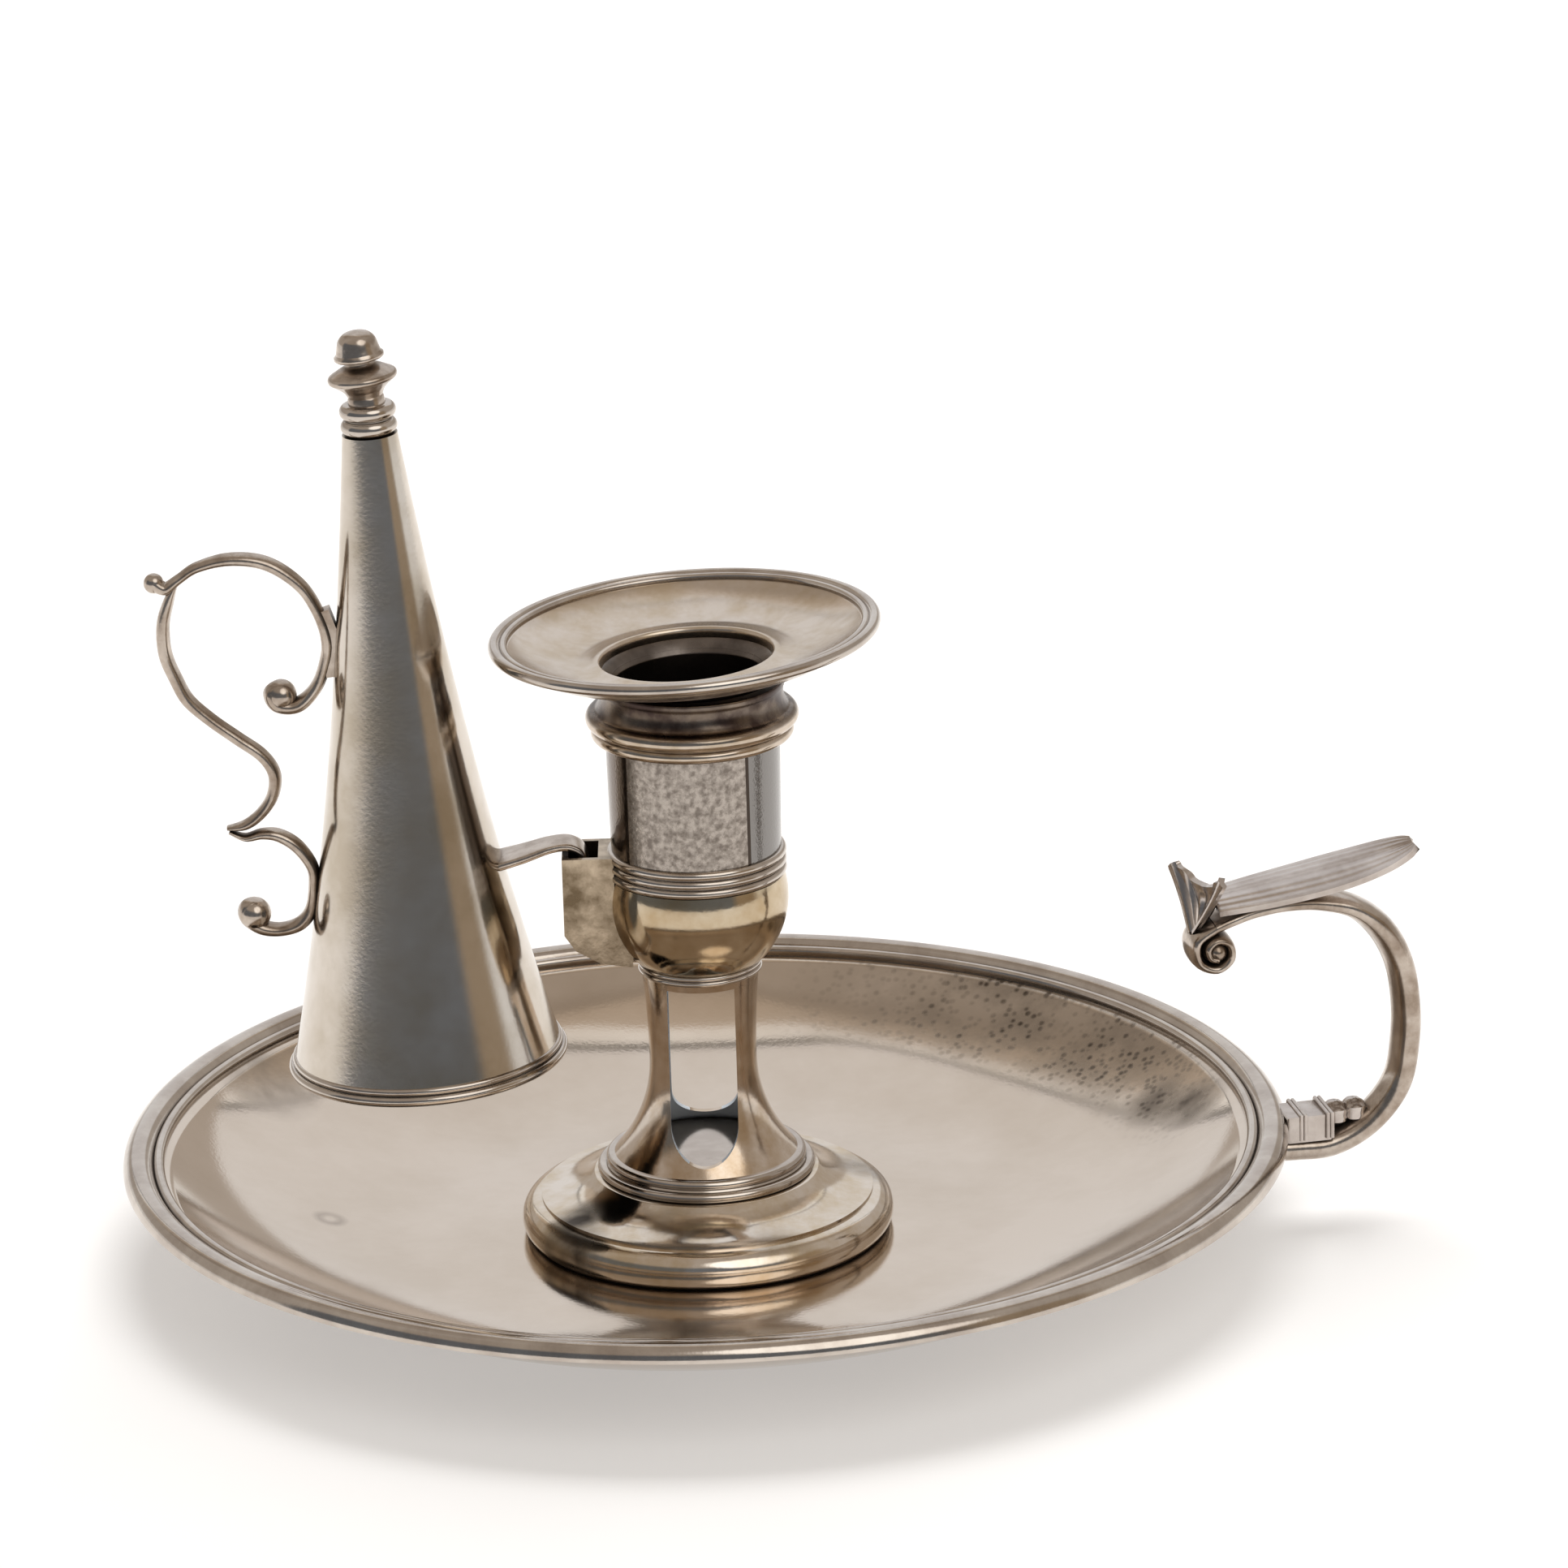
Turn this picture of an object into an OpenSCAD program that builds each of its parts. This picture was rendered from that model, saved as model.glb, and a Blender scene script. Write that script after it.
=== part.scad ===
// Chamberstick with a lift-out nozzle and a conical snuffer that hooks on its socket.
// Millimetres. +Z up, origin on the table at the middle of the pan's underside,
// +X towards the pan's scroll handle, -X towards the snuffer.

/* [Pan] */
// Outer diameter over the rim moulding
pan_d = 150; // [130:1:170]
// Diameter of the flat floor
pan_floor_d = 70; // [56:1:90]
// Height of the dished wall, up to the underside of the rim moulding
pan_wall_h = 12.7; // [9:0.1:15]
// Thickness of the pan's sheet
pan_sheet = 1.1; // [0.8:0.1:1.6]
// Width of the rim's half-round wire
rim_wire_w = 4; // [3:0.1:5]
// Height of the rim's half-round wire
rim_wire_h = 2.1; // [1.6:0.1:2.4]
// Thickness of the fine reed inside the half-round wire
rim_reed_d = 1.4; // [1:0.1:1.6]

/* [Foot] */
// Diameter of the foot on the pan's floor
foot_d = 48; // [42:1:56]
// Height of the rounded lower member
foot_step_h = 4.7; // [3.5:0.1:6]
// Height of the cove above the lower member
foot_cove_h = 3.3; // [2.5:0.1:4.5]
// Width of the cove
foot_cove_w = 7.4; // [6:0.1:8.5]
// Height of the ring that carries the stem
foot_ring_h = 2.6; // [2:0.1:3.5]
// Sheet thickness of the foot
foot_sheet = 1; // [0.8:0.1:1.3]

/* [Stem] */
// Height of the stem
stem_h = 24.6; // [20:0.2:30]
// Diameter of the stem where it stands on the foot
stem_foot_d = 23.6; // [21:0.2:25]
// Diameter of the stem at its waist
stem_waist_d = 13.8; // [12.4:0.2:15]
// Diameter of the stem at its top
stem_top_d = 15; // [14:0.2:16]
// Height of the waist above the stem's lower edge
stem_waist_h = 12.6; // [10:0.2:15]
// Wall of the stem
stem_wall = 1; // [0.8:0.1:1.2]
// Width of the window that pierces the stem from front to back
window_w = 8.6; // [6:0.2:9]
// Metal left under the window's round lower end
window_sill = 1.1; // [0.8:0.1:2]
// Metal left over the window's straight top
window_head = 0.9; // [0.8:0.1:2]
// Height of the two reeds between stem and socket
stem_collar_h = 1.4; // [1:0.1:2]

/* [Socket] */
// Diameter of the bowl under the drum
bowl_d = 23.2; // [22.6:0.2:25]
// Wall of the bowl
bowl_wall = 0.8; // [0.6:0.1:1]
// Height of the bowl
bowl_h = 11.6; // [10.6:0.2:12]
// Height of the reeded girdle
girdle_h = 3.6; // [3:0.1:4.5]
// How far the girdle stands out from the drum's foot
girdle_reach = 0.65; // [0.5:0.05:1]
// Height of the drum
drum_h = 14.8; // [12:0.2:20]
// Diameter of the drum at its foot
drum_foot_d = 21.7; // [21.6:0.1:22]
// Diameter of the drum at its top
drum_top_d = 22.2; // [22:0.1:23]
// Bore of the socket, which takes the nozzle's tube
socket_bore_d = 20.7; // [20:0.1:20.8]
// Height of the lower bead of the top moulding
top_bead_h = 1.6; // [1.4:0.1:2.4]
// Height of the upper bead of the top moulding
top_torus_h = 2.2; // [2:0.1:3]
// How far the upper bead stands out from the bore
top_torus_reach = 3.2; // [2.8:0.1:4]
// Height of the hollow neck over the upper bead
top_neck_h = 3.7; // [3:0.1:5]
// Wall of the hollow neck
top_neck_wall = 1.5; // [1.2:0.1:1.8]

/* [Nozzle] */
// Diameter of the nozzle over its rim
nozzle_d = 49.8; // [42:0.2:54]
// Bore of the nozzle, which holds the candle
candle_bore_d = 18.6; // [17:0.1:18.8]
// Wall of the nozzle's tube
tube_wall = 0.4; // [0.3:0.05:0.5]
// Length of the tube below the nozzle's pan
tube_l = 13.6; // [10:0.2:18]
// Sheet thickness of the nozzle's pan
nozzle_sheet = 0.9; // [0.7:0.1:1.1]
// Rise of the nozzle's pan from its floor to its rim
nozzle_rise = 3.2; // [2:0.2:5]
// Height of the tube's shoulder that rests on the socket
shoulder_h = 1; // [0.8:0.1:1.4]
// Diameter of the tube's shoulder
shoulder_d = 24.8; // [24:0.2:27]
// Radius of the rounded throat
throat_r = 1.5; // [1:0.1:1.8]
// Diameter of the flat part of the nozzle's pan
nozzle_flat_d = 25; // [24:0.5:30]
// Thickness of the nozzle's rim wire
nozzle_wire_d = 1.5; // [1.2:0.1:1.8]

/* [Hook bracket] */
// Width of the slot, seen from the snuffer
slot_w = 6.6; // [5.6:0.1:8]
// Depth of the slot, away from the socket
slot_t = 3.8; // [3:0.1:4.5]
// Height of the slot
slot_h = 9.4; // [8:0.1:10]
// Wall of the bracket
bracket_wall = 0.8; // [0.6:0.1:1]
// Metal between the slot and the girdle
bracket_back = 1; // [0.8:0.1:1.4]

/* [Snuffer] */
// Height of the cone
cone_h = 83.7; // [70:0.1:95]
// Diameter of the cone at its mouth
cone_mouth_d = 35; // [30:0.2:37]
// Diameter of the cone at its tip
cone_tip_d = 7; // [6:0.1:8]
// Wall of the cone
cone_wall = 0.8; // [0.6:0.1:1]
// Thickness of the mouth's lower bead
mouth_bead_d = 1.3; // [1.1:0.1:1.8]
// Diameter of the finial's disc
finial_d = 8.8; // [7.6:0.2:10]
// Height of the finial
finial_h = 9.6; // [8.6:0.2:12]
// How far the finial is bent out of the cone's axis, in degrees
finial_bend = 4; // [0:1:4]
// Height of the reeded collar between cone and finial
collar_h = 4; // [3.5:0.1:5]
// Distance from the cone's axis to the middle of the hook
hook_reach = 22.1; // [21:0.1:25]
// Height of the hook strap's underside above the mouth
hook_h = 27; // [23:0.2:32]
// Length of the prong that hangs in the slot
prong_l = 6.8; // [5:0.1:8]
// Width of the hook strap at the prong
prong_w = 4.6; // [4:0.1:5]
// Thickness of the hook strap
strap_t = 1.1; // [0.9:0.1:1.3]
// How far the hanging snuffer leans outwards, in degrees
snuffer_lean = 2.7; // [0:0.1:3]
// Height of the snuffer's scroll handle above the mouth
scroll_h = 68.6; // [60:0.2:72]
// How far the scroll handle stands out from the cone's axis
scroll_reach = 28.8; // [25:0.2:31]
// Width of the snuffer's scroll handle
scroll_w = 2.8; // [2.4:0.1:3.6]
// Thickness of the snuffer's scroll handle
scroll_t = 1.7; // [1.4:0.1:2.2]

/* [Pan handle] */
// Height of the handle's strap above the table
handle_h = 43.2; // [38:0.2:48]
// How far the handle's strap swings out from the rim
handle_reach = 16; // [13:0.2:19]
// Width of the handle's strap
handle_w = 6; // [4.6:0.2:7]
// Thickness of the handle's strap
handle_t = 3.3; // [2.6:0.1:3.6]
// How far the handle is turned from the pan's radius, in degrees
handle_turn = 12; // [0:1:15]
// Diameter of the rolled end
volute_d = 6.2; // [5.6:0.2:7.4]
// Length of the thumb-piece
thumb_l = 27; // [22:0.5:30]
// Width of the thumb-piece
thumb_w = 10.5; // [9:0.5:14]
// Thickness of the thumb-piece
thumb_t = 1.3; // [1:0.1:1.6]
// Slope of the thumb-piece, in degrees
thumb_slope = 8; // [6:1:12]
// How far the thumb-piece is tipped towards the front, in degrees
thumb_tip = 12; // [0:1:15]

/* [Hidden] */
$fn = 96;
// Corners of a strap's oval section
strap_fn = 10;
// Steps of a smooth path between two of its points
path_steps = 4;
// Space left between pieces that come apart
fit_gap = 0.3;
// How far a soldered piece bites into its neighbour
solder = 0.2;

pan_r = pan_d / 2;
floor_r = pan_floor_d / 2;
rim_reed_r = rim_reed_d / 2;
// Thickness of the web between the rim's wire and its reed
rim_web_t = 0.7;
reed_centre_r = pan_r - rim_wire_w - rim_reed_r * 0.85;
lip_r = pan_r - rim_wire_w + solder;

foot_r = foot_d / 2;
foot_z = pan_sheet;
cove_r = foot_r - foot_step_h / 2 - 0.3;
ring_z = foot_z + foot_step_h + foot_cove_h;
stem_z = ring_z + foot_ring_h;
collar_z = stem_z + stem_h;
bowl_z = collar_z + stem_collar_h;
bowl_r = bowl_d / 2;
bowl_centre_z = bowl_z + sqrt(pow(bowl_r, 2) - pow(stem_top_d / 2 + 0.4, 2));
girdle_z = bowl_z + bowl_h;
drum_z = girdle_z + girdle_h;
top_z = drum_z + drum_h;
socket_top = top_z + top_bead_h + top_torus_h + top_neck_h;
bore_r = socket_bore_d / 2;
lip_out_r = bore_r + top_neck_wall;

candle_r = candle_bore_d / 2;
tube_r = candle_r + tube_wall;
// The loose tube leans until it nearly touches the bore at both ends.
nozzle_lean = asin(2 * (bore_r - tube_r - fit_gap) / tube_l);
nozzle_z = socket_top + fit_gap + lip_out_r * sin(nozzle_lean);
nozzle_shift = tube_l / 2 * sin(nozzle_lean);

bowl_top_r = sqrt(pow(bowl_r - bowl_wall, 2) - pow(girdle_z - bowl_centre_z, 2));
// The girdle spans the joint, from the narrower bore to the wider outside.
girdle_r = max(bowl_r - solder / 2, drum_foot_d / 2 + girdle_reach);
girdle_bore_r = min(bore_r, bowl_top_r);
slot_x = -(girdle_r + bracket_back + slot_t / 2);
bracket_top = girdle_z + girdle_h - 0.2;
bracket_face = -(girdle_r + bracket_back + slot_t + bracket_wall);
bracket_half = slot_w / 2 + bracket_wall;

cone_mouth_r = cone_mouth_d / 2;
cone_tip_r = cone_tip_d / 2;
finial_z = cone_h + collar_h;

// Radius of the snuffer's cone at height z above its mouth: nearly straight, with a
// slight hollow that opens towards the mouth.
function cone_r(z) = let (t = 1 - z / cone_h)
    cone_tip_r + (cone_mouth_r - cone_tip_r) * (0.68 * t + 0.32 * pow(t, 2.5));

// Smooth curve through the points p, with path_steps steps from point to point.
function curve_point(a, b, c, d, t) = 0.5 * (2 * b + (c - a) * t
    + (2 * a - 5 * b + 4 * c - d) * t * t
    + (3 * b - a - 3 * c + d) * t * t * t);
function smooth_path(p) = let (n = len(p) - 1)
    concat([for (i = [0:n - 1], k = [0:path_steps - 1])
        curve_point(p[max(i - 1, 0)], p[i], p[i + 1], p[min(i + 2, n)], k / path_steps)],
        [p[n]]);
function unit(v) = v / norm(v);
function tangent(p, i) = unit(p[min(i + 1, len(p) - 1)] - p[max(i - 1, 0)]);

// A strap of oval section that follows a path in the XZ plane. Width lies across the
// plane and thickness in it; both change evenly from the first end to the last.
module strap(points, w, t) {
    p = smooth_path(points);
    n = len(p);
    rings = [for (i = [0:n - 1]) let (d = tangent(p, i), s = i / (n - 1))
        for (k = [0:strap_fn - 1]) let (a = 360 * k / strap_fn)
            [p[i][0] - d[1] * cos(a) * (t[0] + (t[1] - t[0]) * s) / 2,
             sin(a) * (w[0] + (w[1] - w[0]) * s) / 2,
             p[i][1] + d[0] * cos(a) * (t[0] + (t[1] - t[0]) * s) / 2]];
    sides = [for (i = [0:n - 2], k = [0:strap_fn - 1]) let (j = (k + 1) % strap_fn)
        for (f = [[i * strap_fn + k, i * strap_fn + j, (i + 1) * strap_fn + j],
                  [i * strap_fn + k, (i + 1) * strap_fn + j, (i + 1) * strap_fn + k]]) f];
    ends = [[for (k = [strap_fn - 1:-1:0]) k],
            [for (k = [0:strap_fn - 1]) (n - 1) * strap_fn + k]];
    polyhedron(points = rings, faces = concat(sides, ends), convexity = 6);
}

// Section of a dish: a flat floor and a wall that sweeps up from it as one arc.
module dish_section(inner, flat_r, edge_r, h, sheet) {
    arc_r = (pow(edge_r - flat_r, 2) + h * h) / (2 * h);
    translate([inner, 0]) square([flat_r - inner, sheet]);
    intersection() {
        translate([flat_r, arc_r]) difference() {
            circle(arc_r);
            circle(arc_r - sheet);
        }
        translate([flat_r, 0]) square([edge_r - flat_r, h]);
    }
}

// Puts a piece that is drawn on the snuffer's own axis, mouth at z = 0, where it hangs.
module on_snuffer() {
    translate([slot_x, 0, bracket_top + fit_gap])
        rotate([0, -snuffer_lean, 0])
            translate([-hook_reach, 0, -hook_h]) children();
}

// Puts a piece that is drawn on the nozzle's own axis, underside at z = 0, in its seat.
module on_socket() {
    translate([-nozzle_shift, 0, nozzle_z])
        rotate([0, -nozzle_lean, 0]) children();
}

// Where the middle of a strap soldered to the outside of the cone lies, at height z.
function on_cone(z) = -cone_r(z) - scroll_t / 2 + solder;

// Points of the snuffer's handle, given as shares of its reach and height.
function scroll_points(shares) =
    [for (s = shares) [-scroll_reach * s[0], scroll_h * s[1]]];

// Turns a piece of the handle about the place where it meets the rim.
module on_rim() {
    translate([pan_r, 0, 0]) rotate([0, 0, handle_turn]) children();
}

// Dished round sheet that catches the wax and stands on the table.
module pan() {
    color("#c9bfb3")
        rotate_extrude() dish_section(0, floor_r, lip_r, pan_wall_h, pan_sheet);
}

// Moulded wire soldered on the edge of the pan.
module rim_moulding() {
    wire_r = (pow(rim_wire_w / 2, 2) + pow(rim_wire_h, 2)) / (2 * rim_wire_h);
    color("#b7ada2")
        rotate_extrude() {
            intersection() {
                translate([pan_r - rim_wire_w / 2, pan_wall_h + rim_wire_h - wire_r])
                    circle(wire_r);
                translate([pan_r - rim_wire_w, pan_wall_h]) square([rim_wire_w, rim_wire_h]);
            }
            translate([reed_centre_r, pan_wall_h + rim_reed_r]) circle(rim_reed_r);
            translate([reed_centre_r - rim_reed_r, pan_wall_h])
                square([rim_wire_w / 2, rim_web_t]);
        }
}

// Spun foot: a rounded lower member and a hollow cove up to the ring.
module foot() {
    member_r = foot_step_h / 2 + 0.3;
    cove_top_r = cove_r - foot_cove_w;
    cove_arc = (pow(foot_cove_w, 2) + pow(foot_cove_h, 2)) / (2 * foot_cove_h);
    color("#b9aea1")
        translate([0, 0, foot_z])
            difference() {
                rotate_extrude() {
                    square([foot_r - member_r, foot_step_h]);
                    intersection() {
                        translate([foot_r - member_r, foot_step_h - member_r])
                            circle(member_r);
                        square([foot_r, foot_step_h]);
                    }
                    difference() {
                        translate([0, foot_step_h])
                            square([cove_r, foot_cove_h]);
                        translate([cove_r, foot_step_h + 0.5 + cove_arc])
                            circle(cove_arc);
                    }
                }
                translate([0, 0, -1])
                    cylinder(h = foot_step_h + 1 - foot_sheet, r = cove_r - foot_sheet);
                translate([0, 0, -1])
                    cylinder(h = foot_step_h + foot_cove_h + 1 - foot_sheet,
                             r = cove_top_r - foot_sheet);
            }
}

// Two beads that carry the stem on the foot.
module foot_ring() {
    bead = foot_ring_h / 2;
    ring_out = cove_r - foot_cove_w + 0.2;
    color("#a89d91")
        translate([0, 0, ring_z])
            rotate_extrude() {
                square([ring_out - bead, foot_ring_h]);
                square([ring_out - bead * 0.6, bead]);
                translate([ring_out - bead * 0.6, bead * 0.5]) circle(bead * 0.5);
                translate([ring_out - bead * 1.5, bead * 1.45]) circle(bead * 0.55);
            }
}

// Outline of the stem, wider by grow on its radius.
module stem_outline(grow) {
    low_rise = stem_waist_h;
    low_run = (stem_foot_d - stem_waist_d) / 2;
    low_arc = (low_run * low_run + low_rise * low_rise) / (2 * low_run);
    high_rise = stem_h - stem_waist_h;
    high_run = (stem_top_d - stem_waist_d) / 2;
    high_arc = (high_run * high_run + high_rise * high_rise) / (2 * high_run);
    waist_r = stem_waist_d / 2 + grow;
    difference() {
        square([stem_foot_d / 2 + grow, stem_waist_h]);
        translate([waist_r + low_arc, stem_waist_h]) circle(low_arc);
    }
    difference() {
        translate([0, stem_waist_h]) square([stem_top_d / 2 + grow, high_rise]);
        translate([waist_r + high_arc, stem_waist_h]) circle(high_arc, $fn = 360);
    }
}

// Trumpet-shaped tube, pierced from front to back by a tall window.
module stem() {
    arch_z = window_sill + window_w / 2;
    color("#b3a799")
        translate([0, 0, stem_z])
            difference() {
                rotate_extrude() difference() {
                    stem_outline(0);
                    stem_outline(-stem_wall);
                }
                translate([-window_w / 2, -foot_r, arch_z])
                    cube([window_w, foot_d, stem_h - window_head - arch_z]);
                translate([0, foot_r, arch_z]) rotate([90, 0, 0])
                    cylinder(h = foot_d, r = window_w / 2);
            }
}

// Disc with two reeds that closes the stem's top.
module stem_collar() {
    reed = stem_collar_h / 4;
    color("#a5998c")
        translate([0, 0, collar_z]) {
            cylinder(h = stem_collar_h, r = stem_top_d / 2 + 0.1);
            rotate_extrude() for (k = [0, 1])
                translate([stem_top_d / 2 + 0.1, reed * (1 + 2 * k)]) circle(reed);
        }
}

// Round bowl that the candle stands in.
module socket_bowl() {
    color("#b0a28f")
        difference() {
            intersection() {
                translate([0, 0, bowl_centre_z]) sphere(r = bowl_r);
                translate([0, 0, bowl_z]) cylinder(h = bowl_h, r = bowl_d);
            }
            intersection() {
                translate([0, 0, bowl_centre_z]) sphere(r = bowl_r - bowl_wall);
                translate([0, 0, bowl_z + bowl_wall]) cylinder(h = bowl_d, r = bowl_d);
            }
        }
}

// Three reeds round the joint of bowl and drum.
module girdle() {
    reed = girdle_h / 6;
    color("#a39789")
        translate([0, 0, girdle_z])
            difference() {
                rotate_extrude() {
                    square([girdle_r - reed, girdle_h]);
                    for (k = [0:2])
                        translate([girdle_r - reed, reed * (1 + 2 * k)]) circle(reed);
                }
                translate([0, 0, -1]) cylinder(h = girdle_h + 2, r = girdle_bore_r);
            }
}

// Plain tube of the socket.
module socket_drum() {
    color("#a79c91")
        translate([0, 0, drum_z])
            difference() {
                cylinder(h = drum_h, d1 = drum_foot_d, d2 = drum_top_d);
                translate([0, 0, -1]) cylinder(h = drum_h + 2, r = bore_r);
            }
}

// Two beads and a hollow neck round the socket's mouth.
module socket_top() {
    bead_r = top_bead_h / 2;
    torus_r = top_torus_h / 2;
    torus_x = bore_r + top_torus_reach - torus_r;
    bead_x = torus_x - 0.35;
    neck_z = top_bead_h + top_torus_h;
    hollow_r = top_neck_h * 0.8;
    color("#9d9185")
        translate([0, 0, top_z])
            difference() {
                rotate_extrude() {
                    translate([bead_x, bead_r]) circle(bead_r);
                    square([bead_x, top_bead_h]);
                    translate([torus_x, top_bead_h + torus_r]) circle(torus_r);
                    translate([0, top_bead_h]) square([torus_x, top_torus_h]);
                    difference() {
                        translate([0, neck_z]) square([torus_x, top_neck_h]);
                        translate([lip_out_r + hollow_r - 0.2, neck_z + top_neck_h * 0.55])
                            circle(hollow_r);
                        translate([lip_out_r, neck_z + top_neck_h * 0.8])
                            square([bore_r, top_neck_h]);
                    }
                }
                translate([0, 0, -1]) cylinder(h = socket_top - top_z + 2, r = bore_r);
            }
}

// Box soldered to the side of the socket, with a slot that takes the snuffer's hook.
module hook_bracket() {
    tail_z = bracket_top - slot_h - bracket_wall;
    // Corners of the tail that runs under the slot to the stem, from its outer face
    tail = [[0, 0], [1.4, -2.1], [4.6, -3.9]];
    color("#a99d90")
        difference() {
            translate([0, bracket_half, 0]) rotate([90, 0, 0])
                linear_extrude(2 * bracket_half)
                    polygon(concat([[bracket_face, bracket_top]],
                                   [for (t = tail) [bracket_face, tail_z] + t],
                                   [[-stem_top_d / 2 - 1, bowl_z + 0.3],
                                    [-bowl_r + 4, bracket_top]]));
            translate([slot_x - slot_t / 2, -slot_w / 2, bracket_top - slot_h])
                cube([slot_t, slot_w, slot_h + 1]);
            translate([0, 0, bowl_centre_z]) sphere(r = bowl_r - solder);
            translate([0, 0, girdle_z - 1]) cylinder(h = girdle_h + 2, r = girdle_r - solder);
        }
}

// Tube of the nozzle, open at both ends, with the shoulder it hangs by.
module nozzle_tube() {
    color("#8f857b")
        on_socket()
            difference() {
                union() {
                    translate([0, 0, -tube_l]) cylinder(h = tube_l + 0.2, r = tube_r);
                    cylinder(h = shoulder_h, r = shoulder_d / 2);
                }
                translate([0, 0, -tube_l - 1])
                    cylinder(h = tube_l + shoulder_h + 2, r = candle_r);
            }
}

// Drip pan of the nozzle, with a rounded throat.
module nozzle_pan() {
    edge_r = nozzle_d / 2 - nozzle_wire_d / 2;
    color("#c4baae")
        on_socket()
            translate([0, 0, shoulder_h]) difference() {
                rotate_extrude()
                    dish_section(candle_r, nozzle_flat_d / 2, edge_r,
                                 nozzle_rise + nozzle_sheet, nozzle_sheet);
                rotate_extrude() difference() {
                    translate([0, nozzle_sheet - throat_r])
                        square([candle_r + throat_r, throat_r + 1]);
                    translate([candle_r + throat_r, nozzle_sheet - throat_r])
                        circle(throat_r);
                }
            }
}

// Reeded wire round the nozzle's pan.
module nozzle_rim() {
    wire_r = nozzle_wire_d / 2;
    reed_r = nozzle_wire_d / 3;
    wire_z = shoulder_h + nozzle_rise + nozzle_sheet;
    color("#b7ada2")
        on_socket()
            rotate_extrude() {
                translate([nozzle_d / 2 - wire_r, wire_z + wire_r * 0.3]) circle(wire_r);
                translate([nozzle_d / 2 - nozzle_wire_d - reed_r * 0.8, wire_z + reed_r * 0.5])
                    circle(reed_r);
            }
}

// Outline of the snuffer's cone, wider by grow on its radius.
module cone_outline(grow, z0, z1) {
    steps = 24;
    polygon(concat([[0, z0]],
        [for (i = [0:steps]) let (z = z0 + (z1 - z0) * i / steps)
            [cone_r(min(max(z, 0), cone_h)) + grow, z]],
        [[0, z1]]));
}

// Hollow cone of thin sheet, open at its mouth.
module snuffer_cone() {
    color("#aaa195")
        on_snuffer()
            difference() {
                rotate_extrude() cone_outline(0, 0, cone_h);
                rotate_extrude() cone_outline(-cone_wall, -1, cone_h - cone_wall * 2);
            }
}

// Two beads round the mouth of the cone.
module mouth_ring() {
    bead_r = mouth_bead_d / 2;
    color("#b7ab9b")
        on_snuffer()
            difference() {
                rotate_extrude() {
                    translate([cone_mouth_r - solder, bead_r]) circle(bead_r);
                    translate([cone_r(bead_r * 2.6) - solder, bead_r * 2.6])
                        circle(bead_r * 0.8);
                }
                rotate_extrude() cone_outline(-solder, -1, mouth_bead_d * 3);
            }
}

// Two reeds where the cone meets the finial.
module snuffer_collar() {
    reed = collar_h / 4;
    color("#b2a692")
        on_snuffer()
            translate([0, 0, cone_h]) {
                cylinder(h = collar_h, r = cone_tip_r - 0.6);
                rotate_extrude() for (k = [0, 1])
                    translate([cone_tip_r - reed - 0.05, reed * (1 + 2 * k)]) circle(reed);
            }
}

// Turned finial: a short neck, a disc that slopes to a blunt edge from above and below,
// and a small bell with a lip.
module finial() {
    disc_r = finial_d / 2;
    foot_r = disc_r * 0.53;
    waist_r = disc_r * 0.44;
    neck_h = finial_h * 0.1;
    edge_z = finial_h * 0.31;
    waist_z = finial_h * 0.53;
    bell_z = finial_h * 0.6;
    lip_h = 0.5;
    bell_r = disc_r * 0.72;
    dome_r = bell_r * 0.87;
    blunt = 0.45;
    color("#ab9f8c")
        on_snuffer()
            translate([0, 0, finial_z - solder]) rotate([0, -finial_bend, 0]) {
                rotate_extrude() polygon([[0, 0], [foot_r, 0], [foot_r, neck_h],
                    [disc_r - blunt, edge_z - blunt], [disc_r, edge_z],
                    [disc_r, edge_z + blunt], [disc_r - blunt, edge_z + 2 * blunt],
                    [waist_r, waist_z], [waist_r, bell_z], [bell_r, bell_z],
                    [bell_r, bell_z + lip_h], [dome_r, bell_z + 2 * lip_h],
                    [dome_r, finial_h - dome_r], [0, finial_h - dome_r]]);
                translate([0, 0, finial_h - dome_r]) sphere(r = dome_r);
            }
}

// Cast scroll handle of the snuffer: an arch that curls back on the cone, and a long
// S that falls from the arch's outer end.
module snuffer_handle() {
    hold_z = scroll_h * 0.826;
    knob_r = scroll_t * 0.65;
    volute_r = scroll_t * 1.25;
    arch = scroll_points([[1.01, 0.966], [0.955, 0.953], [0.892, 0.969], [0.805, 0.99],
                          [0.659, 1], [0.503, 0.986], [0.373, 0.943]]);
    curl = scroll_points([[0.335, 0.748], [0.417, 0.713], [0.5, 0.713]]);
    run = scroll_points([[0.914, 0.956], [0.949, 0.929], [0.981, 0.885], [0.986, 0.829],
                         [0.953, 0.78], [0.905, 0.736], [0.817, 0.695], [0.708, 0.656],
                         [0.606, 0.62], [0.562, 0.583], [0.575, 0.542], [0.632, 0.508],
                         [0.709, 0.486], [0.793, 0.481]]);
    color("#a69b8e")
        on_snuffer() {
            strap(concat(arch, [[on_cone(hold_z), hold_z]], curl),
                  [scroll_w, scroll_w], [scroll_t, scroll_t]);
            strap(run, [scroll_w, scroll_w], [scroll_t, scroll_t * 0.8]);
            translate([arch[0][0], 0, arch[0][1]]) sphere(r = knob_r);
            translate([curl[2][0], 0, curl[2][1] + volute_r * 0.55]) sphere(r = volute_r);
        }
}

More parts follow.
